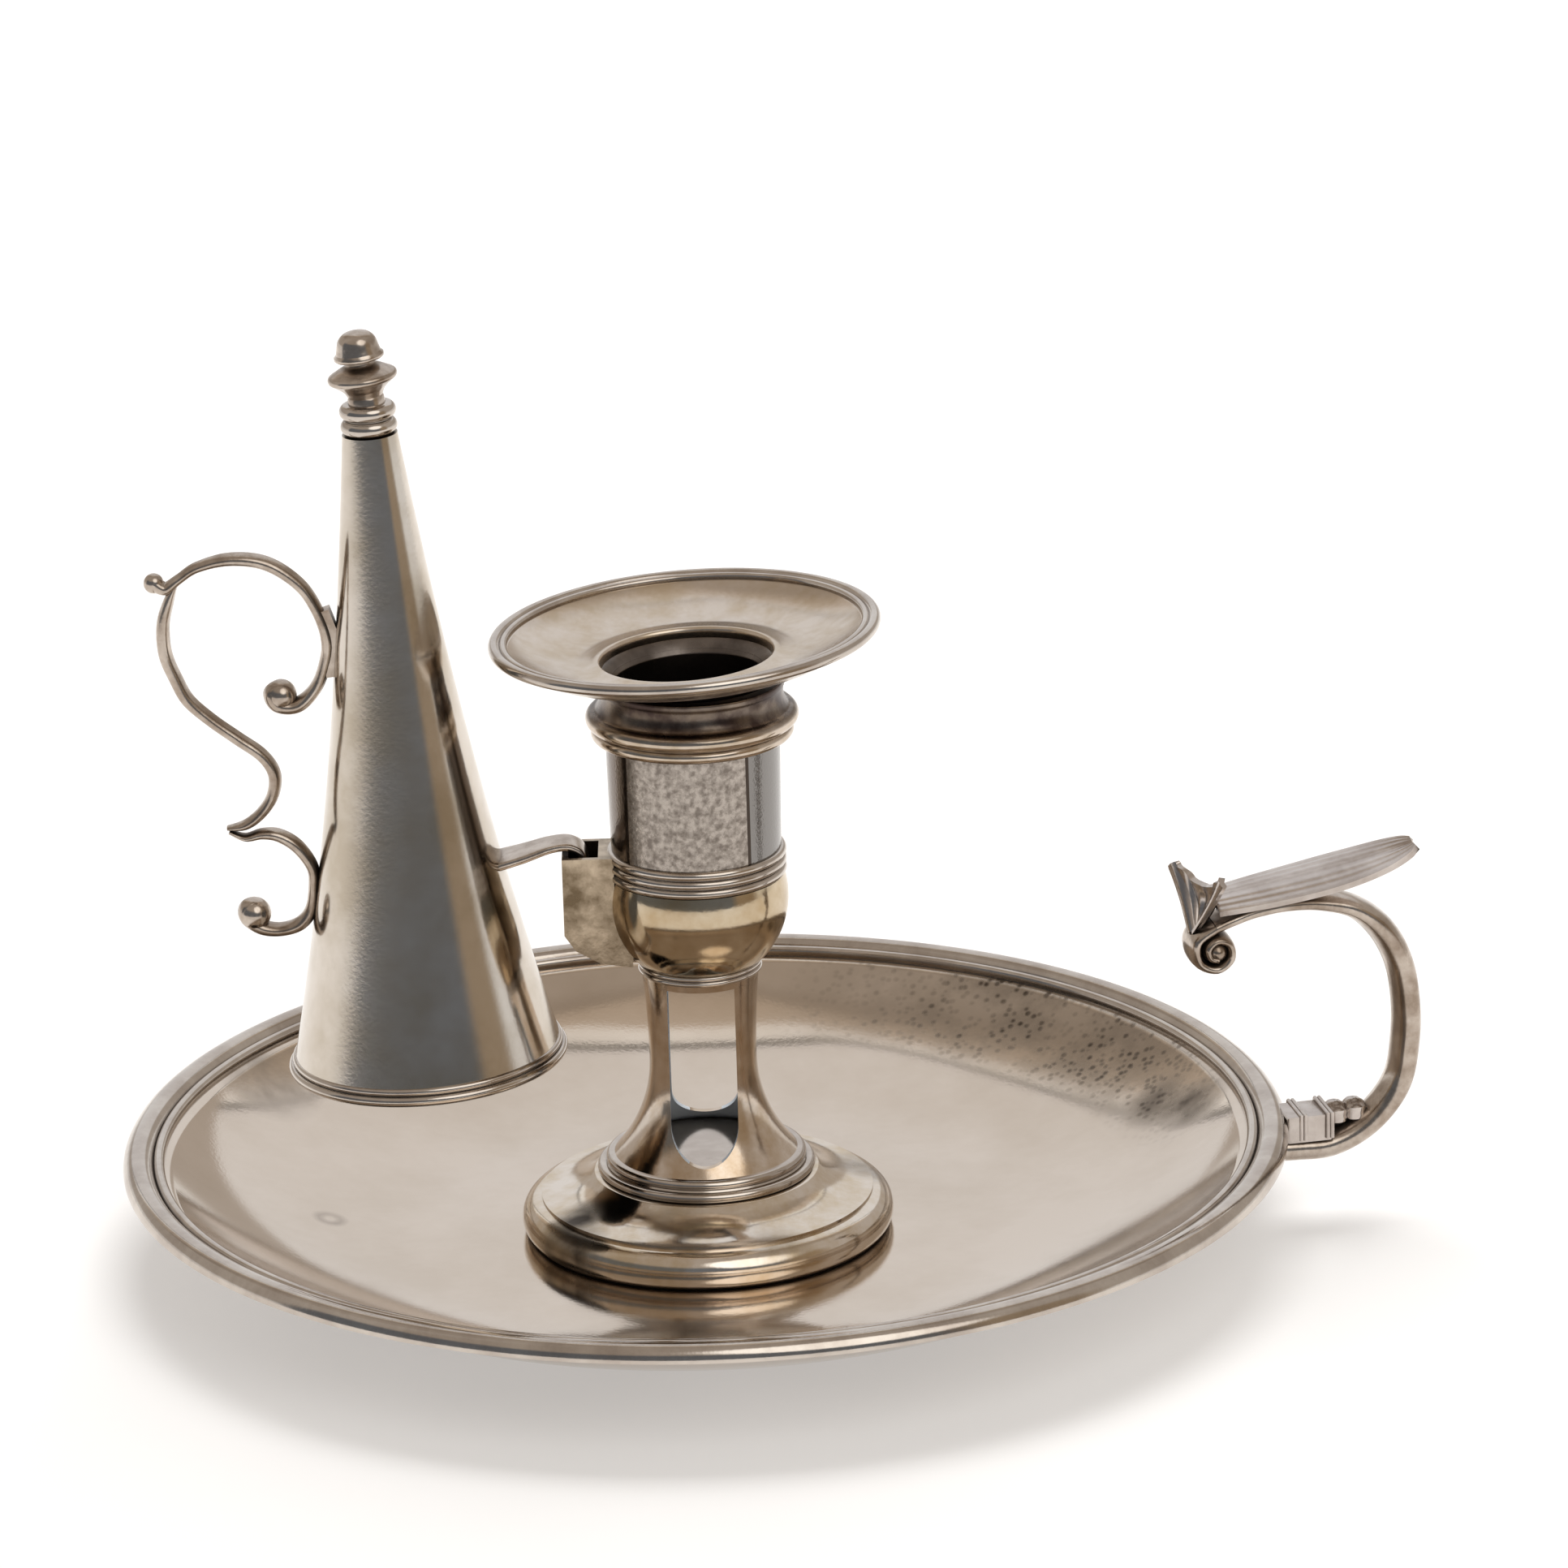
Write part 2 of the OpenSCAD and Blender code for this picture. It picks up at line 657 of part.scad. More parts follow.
// Cast lower scroll of the snuffer's handle.
module snuffer_spur() {
    high_z = scroll_h * 0.386;
    low_z = scroll_h * 0.318;
    volute_r = scroll_t * 1.25;
    top = scroll_points([[0.76, 0.472], [0.712, 0.462], [0.64, 0.466], [0.565, 0.46],
                         [0.489, 0.436]]);
    curl = scroll_points([[0.515, 0.284], [0.6, 0.277], [0.69, 0.286]]);
    color("#a69b8e")
        on_snuffer() {
            strap(concat(top, [[on_cone(high_z), high_z], [on_cone(low_z), low_z]], curl),
                  [scroll_w, scroll_w], [scroll_t * 0.7, scroll_t]);
            translate([curl[2][0] - scroll_t * 0.4, 0, curl[2][1] + volute_r * 0.8])
                sphere(r = volute_r);
        }
}

// Flat strap with a prong that drops into the bracket's slot.
module snuffer_hook() {
    root_x = cone_r(hook_h - 1) - cone_wall;
    strap_z = hook_h + strap_t / 2;
    bend = 1.6;
    path = [[root_x, strap_z - 1.6], [root_x + 4, strap_z - 0.8],
            [hook_reach - 4, strap_z + 0.2], [hook_reach - bend, strap_z + 0.1],
            [hook_reach, strap_z - bend], [hook_reach, hook_h - prong_l]];
    color("#9a9083")
        on_snuffer()
            strap(path, [prong_w + 2, prong_w], [strap_t * 1.2, strap_t]);
}

// Block with two reeded collars and two knots, soldered to the rim.
module handle_root() {
    root_z = pan_wall_h - 1;
    block_l = 6;
    block_h = 2.7;
    collar_t = 0.7;
    collar_reach = 0.3;
    knot_r = 1.5;
    color("#9c9286")
        on_rim() {
            translate([-solder - 0.6, -handle_w / 2, root_z])
                cube([block_l, handle_w, block_h]);
            for (x = [0.9, 4.4])
                translate([x, -handle_w / 2 - collar_reach, root_z])
                    cube([collar_t, handle_w + 2 * collar_reach, block_h + collar_reach]);
            for (x = [6, 8.6])
                translate([x, 0, root_z + knot_r + 0.4]) sphere(r = knot_r);
        }
}

// Cast strap of the handle, from the pan's wall round to its rolled end.
module handle_scroll() {
    root_z = pan_wall_h - handle_t + solder;
    rise = handle_h - root_z;
    shares = [[0.688, 0.08], [0.919, 0.22], [1, 0.399], [1, 0.56], [0.931, 0.72],
              [0.788, 0.854], [0.562, 0.946], [0.275, 0.988], [0, 1], [-0.275, 0.985],
              [-0.462, 0.935], [-0.562, 0.875]];
    root = [[-rim_wire_w - 1, root_z + 0.4], [0.4, root_z], [handle_reach * 0.362, root_z + 0.1]];
    path = concat(root, [for (s = shares) [handle_reach * s[0], root_z + rise * s[1]]]);
    roll = path[len(path) - 1] - [0.8, 0.9];
    color("#8f857d")
        on_rim() {
            strap(path, [handle_w, handle_w], [handle_t, handle_t]);
            translate([roll[0], handle_w / 2, roll[1]]) rotate([90, 0, 0])
                cylinder(h = handle_w, d = volute_d);
        }
}

// Leaf-shaped plate for the thumb, with a fan that turns down over the rolled end.
module thumb_piece() {
    half_w = thumb_w / 2;
    leaf = smooth_path([[0, -half_w * 0.72], [thumb_l * 0.3, -half_w * 0.96],
                        [thumb_l * 0.62, -half_w], [thumb_l * 0.86, -half_w * 0.66],
                        [thumb_l, 0]]);
    outline = concat(leaf, [for (i = [len(leaf) - 2:-1:0]) [leaf[i][0], -leaf[i][1]]]);
    fan_h = volute_d + 1;
    fan_w = thumb_w + 0.5;
    fan_stem = 2.8;
    fan_turn = 14;
    color("#938a82")
        on_rim()
            translate([-handle_reach * 0.6, 0, handle_h + 0.6]) {
                rotate([thumb_tip, -thumb_slope, 0])
                    linear_extrude(thumb_t) polygon(outline);
                rotate([0, 0, fan_turn]) rotate([90, 0, 90])
                    translate([0, 0, 0.4 - volute_d / 3])
                        linear_extrude(thumb_t)
                            polygon([[-fan_w / 2, fan_h / 2], [-fan_stem / 2, -fan_h / 2],
                                     [fan_stem / 2, -fan_h / 2], [fan_w / 2, fan_h / 2],
                                     [0, fan_h / 4]]);
            }
}

pan();
rim_moulding();
foot();
foot_ring();
stem();
stem_collar();
socket_bowl();
girdle();
socket_drum();
socket_top();
hook_bracket();
nozzle_tube();
nozzle_pan();
nozzle_rim();
snuffer_cone();
mouth_ring();
snuffer_collar();
finial();
snuffer_handle();
snuffer_spur();
snuffer_hook();
handle_root();
handle_scroll();
thumb_piece();
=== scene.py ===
# Chamberstick of old silver on a white table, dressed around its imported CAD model.
# Sizes are millimetres in the outlines below; MM turns them into Blender's metres.
import math

import bmesh
import bpy
from mathutils import Matrix, Vector


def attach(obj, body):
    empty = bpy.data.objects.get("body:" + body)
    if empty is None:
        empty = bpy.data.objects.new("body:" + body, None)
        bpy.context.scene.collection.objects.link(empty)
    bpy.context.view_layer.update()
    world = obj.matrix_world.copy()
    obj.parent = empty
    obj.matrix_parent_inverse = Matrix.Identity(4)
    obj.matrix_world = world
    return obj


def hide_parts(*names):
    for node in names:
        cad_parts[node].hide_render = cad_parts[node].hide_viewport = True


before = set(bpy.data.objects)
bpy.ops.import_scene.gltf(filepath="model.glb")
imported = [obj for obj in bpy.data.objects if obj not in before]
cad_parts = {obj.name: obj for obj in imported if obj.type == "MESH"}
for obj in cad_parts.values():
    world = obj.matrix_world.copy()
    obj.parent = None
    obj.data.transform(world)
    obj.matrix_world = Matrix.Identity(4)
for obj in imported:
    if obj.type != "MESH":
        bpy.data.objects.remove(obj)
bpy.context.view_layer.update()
MM = 0.001

# Places of the three things that carry pieces, from the CAD source.
PAN_R = 75.0
SOCKET_TOP = 75.2
NOZZLE_LEAN = math.radians(2.95)
NOZZLE_Z = 76.11
NOZZLE_SHIFT = 0.35
SLOT_X = -14.4
BRACKET_TOP = 52.7
SNUFFER_LEAN = math.radians(2.7)
HOOK_REACH = 22.1
HOOK_H = 27.0
HANDLE_TURN = math.radians(12)
CONE_H = 83.7
CONE_MOUTH_R = 17.5
CONE_TIP_R = 3.5
FINIAL_Z = 87.7
FINIAL_BEND = math.radians(4)

ON_TABLE = Matrix.Identity(4)
ON_SOCKET = (Matrix.Translation((-NOZZLE_SHIFT, 0, NOZZLE_Z))
             @ Matrix.Rotation(-NOZZLE_LEAN, 4, "Y"))
ON_SNUFFER = (Matrix.Translation((SLOT_X, 0, BRACKET_TOP + 0.3))
              @ Matrix.Rotation(-SNUFFER_LEAN, 4, "Y")
              @ Matrix.Translation((-HOOK_REACH, 0, -HOOK_H)))
ON_TIP = (ON_SNUFFER @ Matrix.Translation((0, 0, FINIAL_Z - 0.2))
          @ Matrix.Rotation(-FINIAL_BEND, 4, "Y"))
ON_RIM = Matrix.Translation((PAN_R, 0, 0)) @ Matrix.Rotation(HANDLE_TURN, 4, "Z")

# ---- finishes ----

def linear(hex_colour):
    """Turns an sRGB hex colour into the linear RGBA that shaders take."""
    parts = [int(hex_colour[i:i + 2], 16) / 255 for i in (1, 3, 5)]
    return [c / 12.92 if c <= 0.04045 else ((c + 0.055) / 1.055) ** 2.4 for c in parts] + [1.0]


def add(tree, kind, values=None, **settings):
    """Adds a node. values maps its inputs, by name or number, to a number, a colour, or the
    output of another node; settings are the node's own options."""
    node = tree.nodes.new(kind)
    for name, value in settings.items():
        setattr(node, name, value)
    for name, value in (values or {}).items():
        if isinstance(value, bpy.types.NodeSocket):
            tree.links.new(value, node.inputs[name])
        else:
            node.inputs[name].default_value = value
    return node


def per_metre(size_mm):
    """Scale of a noise texture whose features measure size_mm."""
    return 1000 / size_mm


def old_silver(name, bright, film, grime, gloss, cloud_mm=14, wave_mm=9, wave_depth=0.02,
               grain_mm=0.5, grain_depth=0.006, worn=0.03, crease_mm=2.2, marks=None):
    """Silver that has been cleaned and has dulled again. bright is the bare metal, film its
    thin brown tarnish in clouds, grime the black that stays in the creases. Long low waves
    from the hammer bend the reflections, and a fine grain of scratches and pits breaks them.
    marks may add what only this piece has."""
    mat = bpy.data.materials.new(name)
    mat.use_nodes = True
    t = mat.node_tree
    t.nodes.clear()
    at = add(t, "ShaderNodeTexCoord").outputs["Object"]
    cloud = add(t, "ShaderNodeTexNoise", {"Vector": at, "Scale": per_metre(cloud_mm),
                                          "Detail": 5.0, "Roughness": 0.62}).outputs["Fac"]
    clear = add(t, "ShaderNodeMapRange", {"Value": cloud, "From Min": 0.36, "From Max": 0.62})
    metal = add(t, "ShaderNodeMix", {"Factor": clear.outputs["Result"], 6: linear(film),
                                     7: linear(bright)}, data_type="RGBA").outputs[2]
    crease = add(t, "ShaderNodeAmbientOcclusion", {"Distance": crease_mm * MM}, samples=6)
    dirty = add(t, "ShaderNodeMapRange", {"Value": crease.outputs["AO"], "From Min": 0.62,
                                          "From Max": 0.18, "To Max": 0.85}).outputs["Result"]
    grain = add(t, "ShaderNodeTexNoise", {"Vector": at, "Scale": per_metre(grain_mm),
                                          "Detail": 3.0}).outputs["Fac"]
    colour = add(t, "ShaderNodeMix", {"Factor": dirty, 6: metal, 7: linear(grime)},
                 data_type="RGBA").outputs[2]
    rough = add(t, "ShaderNodeMapRange", {"Value": cloud, "From Min": 0.3, "From Max": 0.7,
                                          "To Min": gloss + worn, "To Max": gloss - worn / 2})
    rough = add(t, "ShaderNodeMath", {0: dirty, 1: 0.35, 2: rough.outputs["Result"]},
                operation="MULTIPLY_ADD").outputs["Value"]
    wave = add(t, "ShaderNodeTexNoise", {"Vector": at, "Scale": per_metre(wave_mm),
                                         "Detail": 1.0}).outputs["Fac"]
    waved = add(t, "ShaderNodeBump", {"Height": wave, "Distance": wave_depth * MM})
    grained = add(t, "ShaderNodeBump", {"Height": grain, "Distance": grain_depth * MM,
                                        "Normal": waved.outputs["Normal"]})
    metal = 1.0
    if marks:
        colour, rough, metal = marks(t, at, colour, rough)
    shader = add(t, "ShaderNodeBsdfPrincipled", {"Base Color": colour, "Metallic": metal,
                 "Roughness": rough, "Normal": grained.outputs["Normal"]})
    add(t, "ShaderNodeOutputMaterial", {"Surface": shader.outputs["BSDF"]})
    return mat


def near(t, at, x, y, z, reach):
    """Soft spot round a place on a piece: 1 at its middle and 0 at its reach."""
    gap = add(t, "ShaderNodeVectorMath", {0: at, 1: Vector((x, y, z)) * MM}, operation="DISTANCE")
    return add(t, "ShaderNodeMapRange", {"Value": gap.outputs["Value"], "From Min": reach * MM,
                                         "From Max": reach * MM * 0.35}).outputs["Result"]


def smudges_and_reflections(spots):
    """Marks of dark spots: smudges where wax and water stood, and on the foot two painted
    reflections of the snuffer's dark mouth. Each spot is a place on the piece, its reach in mm, and how dark
    it is."""
    def marks(t, at, colour, rough, dark=0.0):
        blur = add(t, "ShaderNodeTexNoise", {"Vector": at, "Scale": per_metre(5),
                                             "Detail": 3.0}).outputs["Fac"]
        for x, y, z, reach, depth in spots:
            spot = add(t, "ShaderNodeMath", {0: near(t, at, x, y, z, reach), 1: blur},
                       operation="MULTIPLY").outputs["Value"]
            dark = add(t, "ShaderNodeMath", {0: spot, 1: depth, 2: dark}, use_clamp=True,
                       operation="MULTIPLY_ADD").outputs["Value"]
        # The spots are painted darker: smudges, and on the foot painted reflections of the snuffer's dark
        # mouth.
        colour = add(t, "ShaderNodeMix", {"Factor": dark, 6: colour, 7: linear("#4c4238")},
                     data_type="RGBA").outputs[2]
        rough = add(t, "ShaderNodeMath", {0: dark, 1: 0.3, 2: rough},
                    operation="MULTIPLY_ADD").outputs["Value"]
        return colour, rough, 1.0
    return marks


def pitted(t, at, colour, rough):
    """The pan's own marks: smudges, and brown blotches with pits in them that old polish left
    on the far right of its wall."""
    speck = add(t, "ShaderNodeTexVoronoi", {"Vector": at, "Scale": per_metre(1.25)})
    speck = add(t, "ShaderNodeMapRange", {"Value": speck.outputs["Distance"], "From Min": 0.45,
                                          "From Max": 0.2}).outputs["Result"]
    blur = add(t, "ShaderNodeTexNoise", {"Vector": at, "Scale": per_metre(8), "Detail": 4.0,
                                         "Roughness": 0.65}).outputs["Fac"]
    blotch = add(t, "ShaderNodeMapRange", {"Value": blur, "From Min": 0.36,
                                           "From Max": 0.58, "To Min": 0.4}).outputs["Result"]
    dark = add(t, "ShaderNodeMath", {0: speck, 1: 0.5, 2: 0.45}, operation="MULTIPLY_ADD")
    dark = add(t, "ShaderNodeMath", {0: dark.outputs["Value"], 1: blotch}, operation="MULTIPLY")
    up_wall = add(t, "ShaderNodeSeparateXYZ", {0: at}).outputs["Z"]
    up_wall = add(t, "ShaderNodeMapRange", {"Value": up_wall, "From Min": 5.0 * MM,
                                            "From Max": 7.5 * MM}).outputs["Result"]
    dark = add(t, "ShaderNodeMath", {0: dark.outputs["Value"], 1: up_wall}, operation="MULTIPLY")
    dark = add(t, "ShaderNodeMath", {0: dark.outputs["Value"], 1: near(t, at, 47, 46, 9, 42)},
               operation="MULTIPLY").outputs["Value"]
    return smudges_and_reflections(PAN_SMUDGES)(t, at, colour, rough, dark)


def shaded_under_tray(t, at, colour, rough):
    """Painted shade under the tray: the mouth's upper part, in the tray's shade, is painted dark and dull."""
    height = add(t, "ShaderNodeSeparateXYZ", {0: at}).outputs["Z"]
    upper = add(t, "ShaderNodeMapRange", {"Value": height, "From Min": 70.6 * MM,
                                          "From Max": 71.4 * MM}).outputs["Result"]
    patch = add(t, "ShaderNodeTexNoise", {"Vector": at, "Scale": per_metre(4),
                                          "Detail": 4.0}).outputs["Fac"]
    patch = add(t, "ShaderNodeMapRange", {"Value": patch, "From Min": 0.3, "From Max": 0.6,
                                          "To Min": 0.6, "To Max": 1.0}).outputs["Result"]
    tray_shade = add(t, "ShaderNodeMath", {0: upper, 1: patch}, operation="MULTIPLY").outputs["Value"]
    # Painted shade: the band just under the tray is darkened.
    colour = add(t, "ShaderNodeMix", {"Factor": tray_shade, 6: colour, 7: linear("#463a36")},
                 data_type="RGBA").outputs[2]
    rough = add(t, "ShaderNodeMath", {0: tray_shade, 1: 0.15, 2: rough},
                operation="MULTIPLY_ADD").outputs["Value"]
    return colour, rough, 1.0


def etched_front_painted_sides(t, at, colour, rough):
    """Only the drum's front is eaten; past a dark line at either side it is smooth sheet,
    with painted reflections on it: dark brown at the left and blue-grey at the right.
    """
    spot = add(t, "ShaderNodeSeparateXYZ", {0: at})
    across = add(t, "ShaderNodeMath", {0: spot.outputs["X"], 1: 0.9 * MM}, operation="ADD")
    aside = add(t, "ShaderNodeMath", {0: across.outputs["Value"]}, operation="ABSOLUTE")
    smooth = add(t, "ShaderNodeMapRange", {"Value": aside.outputs["Value"], "From Min": 7.5 * MM,
                                           "From Max": 7.7 * MM}).outputs["Result"]
    right = add(t, "ShaderNodeMath", {0: across.outputs["Value"], 1: 0.0},
                operation="GREATER_THAN").outputs["Value"]
    # Painted reflections: the smooth sheet is dark brown on the left side and blue-grey on the right.
    sheet = add(t, "ShaderNodeMix", {"Factor": right, 6: linear("#6c6056"), 7: linear("#85827f")},
                data_type="RGBA").outputs[2]
    behind = add(t, "ShaderNodeMath", {0: spot.outputs["Y"], 1: 0.0}, operation="GREATER_THAN")
    smooth = add(t, "ShaderNodeMath", {0: smooth, 1: behind.outputs["Value"]},
                 operation="MAXIMUM").outputs["Value"]
    line = add(t, "ShaderNodeMath", {0: aside.outputs["Value"], 1: 7.7 * MM, 2: 0.2 * MM},
               operation="COMPARE").outputs["Value"]
    line = add(t, "ShaderNodeMath", {0: line, 1: behind.outputs["Value"]},
               operation="SUBTRACT", use_clamp=True).outputs["Value"]
    colour = add(t, "ShaderNodeMix", {"Factor": smooth, 6: colour, 7: sheet},
                 data_type="RGBA").outputs[2]
    colour = add(t, "ShaderNodeMix", {"Factor": line, 6: colour, 7: linear("#463e38")},
                 data_type="RGBA").outputs[2]
    rough = add(t, "ShaderNodeMix", {"Factor": smooth, 2: rough, 3: 0.13}).outputs[0]
    return colour, rough, 1.0


def dull_inside_painted_pale(t, at, colour, rough):
    """A tube's bore was never polished: matte and blue-grey, where the outside is bright. The
    blue-grey is painted pale, as painted light for the light that bounces into the bore.
    """
    facing = add(t, "ShaderNodeNewGeometry").outputs["Normal"]
    out_way = add(t, "ShaderNodeVectorMath", {0: at, 1: (1, 1, 0)}, operation="MULTIPLY")
    turned_in = add(t, "ShaderNodeVectorMath", {0: facing, 1: out_way.outputs["Vector"]},
                    operation="DOT_PRODUCT").outputs["Value"]
    inside = add(t, "ShaderNodeMath", {0: turned_in, 1: -0.001},
                 operation="LESS_THAN").outputs["Value"]
    # Painted light: the bore's colour is made pale so that the dim inside reads lit.
    colour = add(t, "ShaderNodeMix", {"Factor": inside, 6: colour, 7: linear("#ccd5dd")},
                 data_type="RGBA").outputs[2]
    rough = add(t, "ShaderNodeMath", {0: inside, 1: 0.5, 2: rough},
                operation="MULTIPLY_ADD").outputs["Value"]
    metal = add(t, "ShaderNodeMath", {0: 1.0, 1: inside}, operation="SUBTRACT").outputs["Value"]
    return colour, rough, metal


PAN_SMUDGES = [(64.5, 15, 9, 6, 1.1), (60, 20, 7.5, 6, 0.8), (-59, 32, 10.9, 9, 0.7),
               (-49, 1, 2.9, 2.6, 0.8), (-49, 1, 2.9, 1.5, -0.8), (-30, -52, 8, 5, 0.5)]
# The foot's first two spots, at its front left, are painted reflections of the snuffer's dark mouth; the rest
# are dark spots.
FOOT_SMUDGES_AND_REFLECTIONS = [(-18.4, -15.4, 3.4, 7, 1.5), (-16.5, -10, 7, 4, 1.4), (21, 6, 6, 6, 0.9),
                (9, -20, 6, 5, 0.5), (-4, -16, 7.5, 5, 0.5)]

# Sheet silver spun and planished over a form: a nearly clear mirror with slow waves in it,
# pale where it was wiped and yellow-brown in thin clouds.
SPUN = old_silver("spun_sheet_silver", "#cdbfa8", "#b29c7b", "#4a3f36", 0.1, cloud_mm=10)
# The foot, spun of the same sheet: uneven, with dark patches painted at its left as reflections of the
# snuffer's dark mouth.
FOOT = old_silver("spun_foot_silver", "#e0d6ca", "#ccba9f", "#4a3f36", 0.12, cloud_mm=7,
                  wave_mm=7, wave_depth=0.04, crease_mm=1.2, marks=smudges_and_reflections(FOOT_SMUDGES_AND_REFLECTIONS))
# The pan's sheet, wiped most often: paler, with its pits and smudges.
PAN = old_silver("spun_pan_silver", "#d8cbbd", "#cdbfaf", "#4a3f36", 0.09, cloud_mm=30,
                 wave_mm=16, wave_depth=0.012, crease_mm=0.8, marks=pitted)
# The nozzle's tray, dulled by wax and flame: the same sheet with a soft gloss.
TRAY = old_silver("spun_tray_silver", "#d6cabd", "#c8b8a2", "#4a3f36", 0.2, cloud_mm=6,
                  wave_mm=6, wave_depth=0.03, worn=0.06)
# Sheet rolled into the stem, whose bore shows through its window, painted pale inside as painted light.
STEM = old_silver("seamed_stem_silver", "#d8cbbd", "#bda78d", "#4a3f36", 0.14, cloud_mm=6,
                  marks=dull_inside_painted_pale)
# Sheet raised into a cone and burnished along its length: the coldest and hardest mirror.
RAISED = old_silver("raised_cone_silver", "#d2cac0", "#bbb0a0", "#453a2e", 0.13, wave_mm=22)
# Drawn and turned wire mouldings: bright crowns rubbed by hands and cloths, black grooves.
WIRE = old_silver("drawn_wire_silver", "#ccc3b9", "#b5aaa0", "#3a3129", 0.13, cloud_mm=8,
                  crease_mm=1.4)
# Cast silver filed and polished by hand: softer gloss, browner in its hollows.
CAST = old_silver("cast_silver", "#c4b8ac", "#968677", "#3d342d", 0.2, cloud_mm=5,
                  wave_mm=4, wave_depth=0.04, grain_depth=0.012, worn=0.06)
# The bracket, cast and never reached by a cloth: brown and streaked.
BROWNED = old_silver("browned_cast_silver", "#bdac95", "#74644f", "#2e271f", 0.22, cloud_mm=5,
                     wave_mm=4, wave_depth=0.04, grain_depth=0.012, worn=0.06)
# Cast silver that a thumb rubs: the palest and smoothest of the castings.
THUMBED = old_silver("thumbed_cast_silver", "#c9c0b9", "#b1a69e", "#453b34", 0.22, cloud_mm=6,
                     wave_mm=5, wave_depth=0.03, grain_depth=0.012, worn=0.06, crease_mm=1.2)
# Drum eaten by old polish: a granular frosted skin over the sheet, with painted reflections on its smooth
# sides.
ETCHED = old_silver("etched_sheet_silver", "#b5aca3", "#7f766e", "#3b342e", 0.27, cloud_mm=0.9,
                    grain_mm=0.35, grain_depth=0.03, worn=0.06, marks=etched_front_painted_sides)
# The mouth under the tray, its upper part painted dark as the tray's shade.
MOUTH = old_silver("mouth_silver_painted_shade", "#cdbfb0", "#b3a189", "#3a3129", 0.14, cloud_mm=6,
                   crease_mm=1.4, marks=shaded_under_tray)
# Tube that a flame stood in: the same sheet, dark all through.
DARK_TUBE = old_silver("dark_tube_silver", "#867d76", "#544d48", "#231e1a", 0.26, worn=0.06)


# ---- metalwork: how the pieces' meshes are made ----

def arc(x, z, r, start, end, steps=10):
    """Points of an arc round (x, z), from one angle to another, in degrees."""
    angles = [math.radians(start + (end - start) * i / steps) for i in range(steps + 1)]
    return [(x + r * math.cos(a), z + r * math.sin(a)) for a in angles]


def eased(outline, radius=0.25, steps=4, closed=True):
    """Rounds each corner of an outline, as polishing rounds every edge of the real one."""
    out, n = [], len(outline)
    for i, (x, z) in enumerate(outline):
        here = Vector((x, z))
        before, after = Vector(outline[i - 1]), Vector(outline[(i + 1) % n])
        to_a, to_b = before - here, after - here
        on_axis = x < 1e-6 or (not closed and i in (0, n - 1))
        if on_axis or to_a.length < 1e-6 or to_b.length < 1e-6 or to_a.angle(to_b) > 2.75:
            out.append((x, z))
            continue
        cut = min(radius, to_a.length * 0.45, to_b.length * 0.45)
        a, b = here + to_a.normalized() * cut, here + to_b.normalized() * cut
        for k in range(steps + 1):
            t = k / steps
            p = a * (1 - t) ** 2 + here * 2 * t * (1 - t) + b * t * t
            out.append((p.x, p.y))
    return out


def flowing(points, steps=8):
    """Smooth curve through points of any dimension, with a number of steps between two."""
    pts = [Vector(p) for p in points]
    out, n = [], len(pts) - 1
    for i in range(n):
        a, b, c, d = pts[max(i - 1, 0)], pts[i], pts[i + 1], pts[min(i + 2, n)]
        for k in range(steps):
            t = k / steps
            out.append(0.5 * (2 * b + (c - a) * t + (2 * a - 5 * b + 4 * c - d) * t * t
                              + (3 * b - a - 3 * c + d) * t ** 3))
    return out + [pts[-1]]


def piece(name, verts, faces, finish, body, stands_for=(), place=ON_TABLE, sharp=50, weld=0):
    """Makes one piece from its mesh, gives it its finish, and hangs it on its body. Points
    that lie closer than weld, in mm, become one."""
    mesh = bpy.data.meshes.new(name)
    mesh.from_pydata([place @ Vector(v) * MM for v in verts], [], faces)
    shell = bmesh.new()
    shell.from_mesh(mesh)
    if weld:
        bmesh.ops.remove_doubles(shell, verts=shell.verts, dist=weld * MM)
    bmesh.ops.recalc_face_normals(shell, faces=shell.faces)
    shell.to_mesh(mesh)
    shell.free()
    mesh.shade_smooth()
    mesh.set_sharp_from_angle(angle=math.radians(sharp))
    mesh.materials.append(finish)
    made = bpy.data.objects.new(name, mesh)
    bpy.context.scene.collection.objects.link(made)
    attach(made, body)
    if stands_for:
        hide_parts(*stands_for)
    return made


def turned(outlines, sides=180):
    """Spins closed outlines of (radius, height) round Z; gives vertices and faces."""
    verts, faces = [], []
    for outline in outlines:
        rows, n = [], len(outline)
        for r, z in outline:
            if r < 1e-6:
                rows.append([len(verts)])
                verts.append((0, 0, z))
                continue
            rows.append(list(range(len(verts), len(verts) + sides)))
            verts += [(r * math.cos(math.tau * k / sides), r * math.sin(math.tau * k / sides), z)
                      for k in range(sides)]
        for i in range(n):
            a, b = rows[i], rows[(i + 1) % n]
            if len(a) == 1 and len(b) == 1:
                continue
            for k in range(sides):
                j = (k + 1) % sides
                if len(a) == 1:
                    faces.append((a[0], b[j], b[k]))
                elif len(b) == 1:
                    faces.append((a[k], a[j], b[0]))
                else:
                    faces.append((a[k], a[j], b[j], b[k]))
    return verts, faces


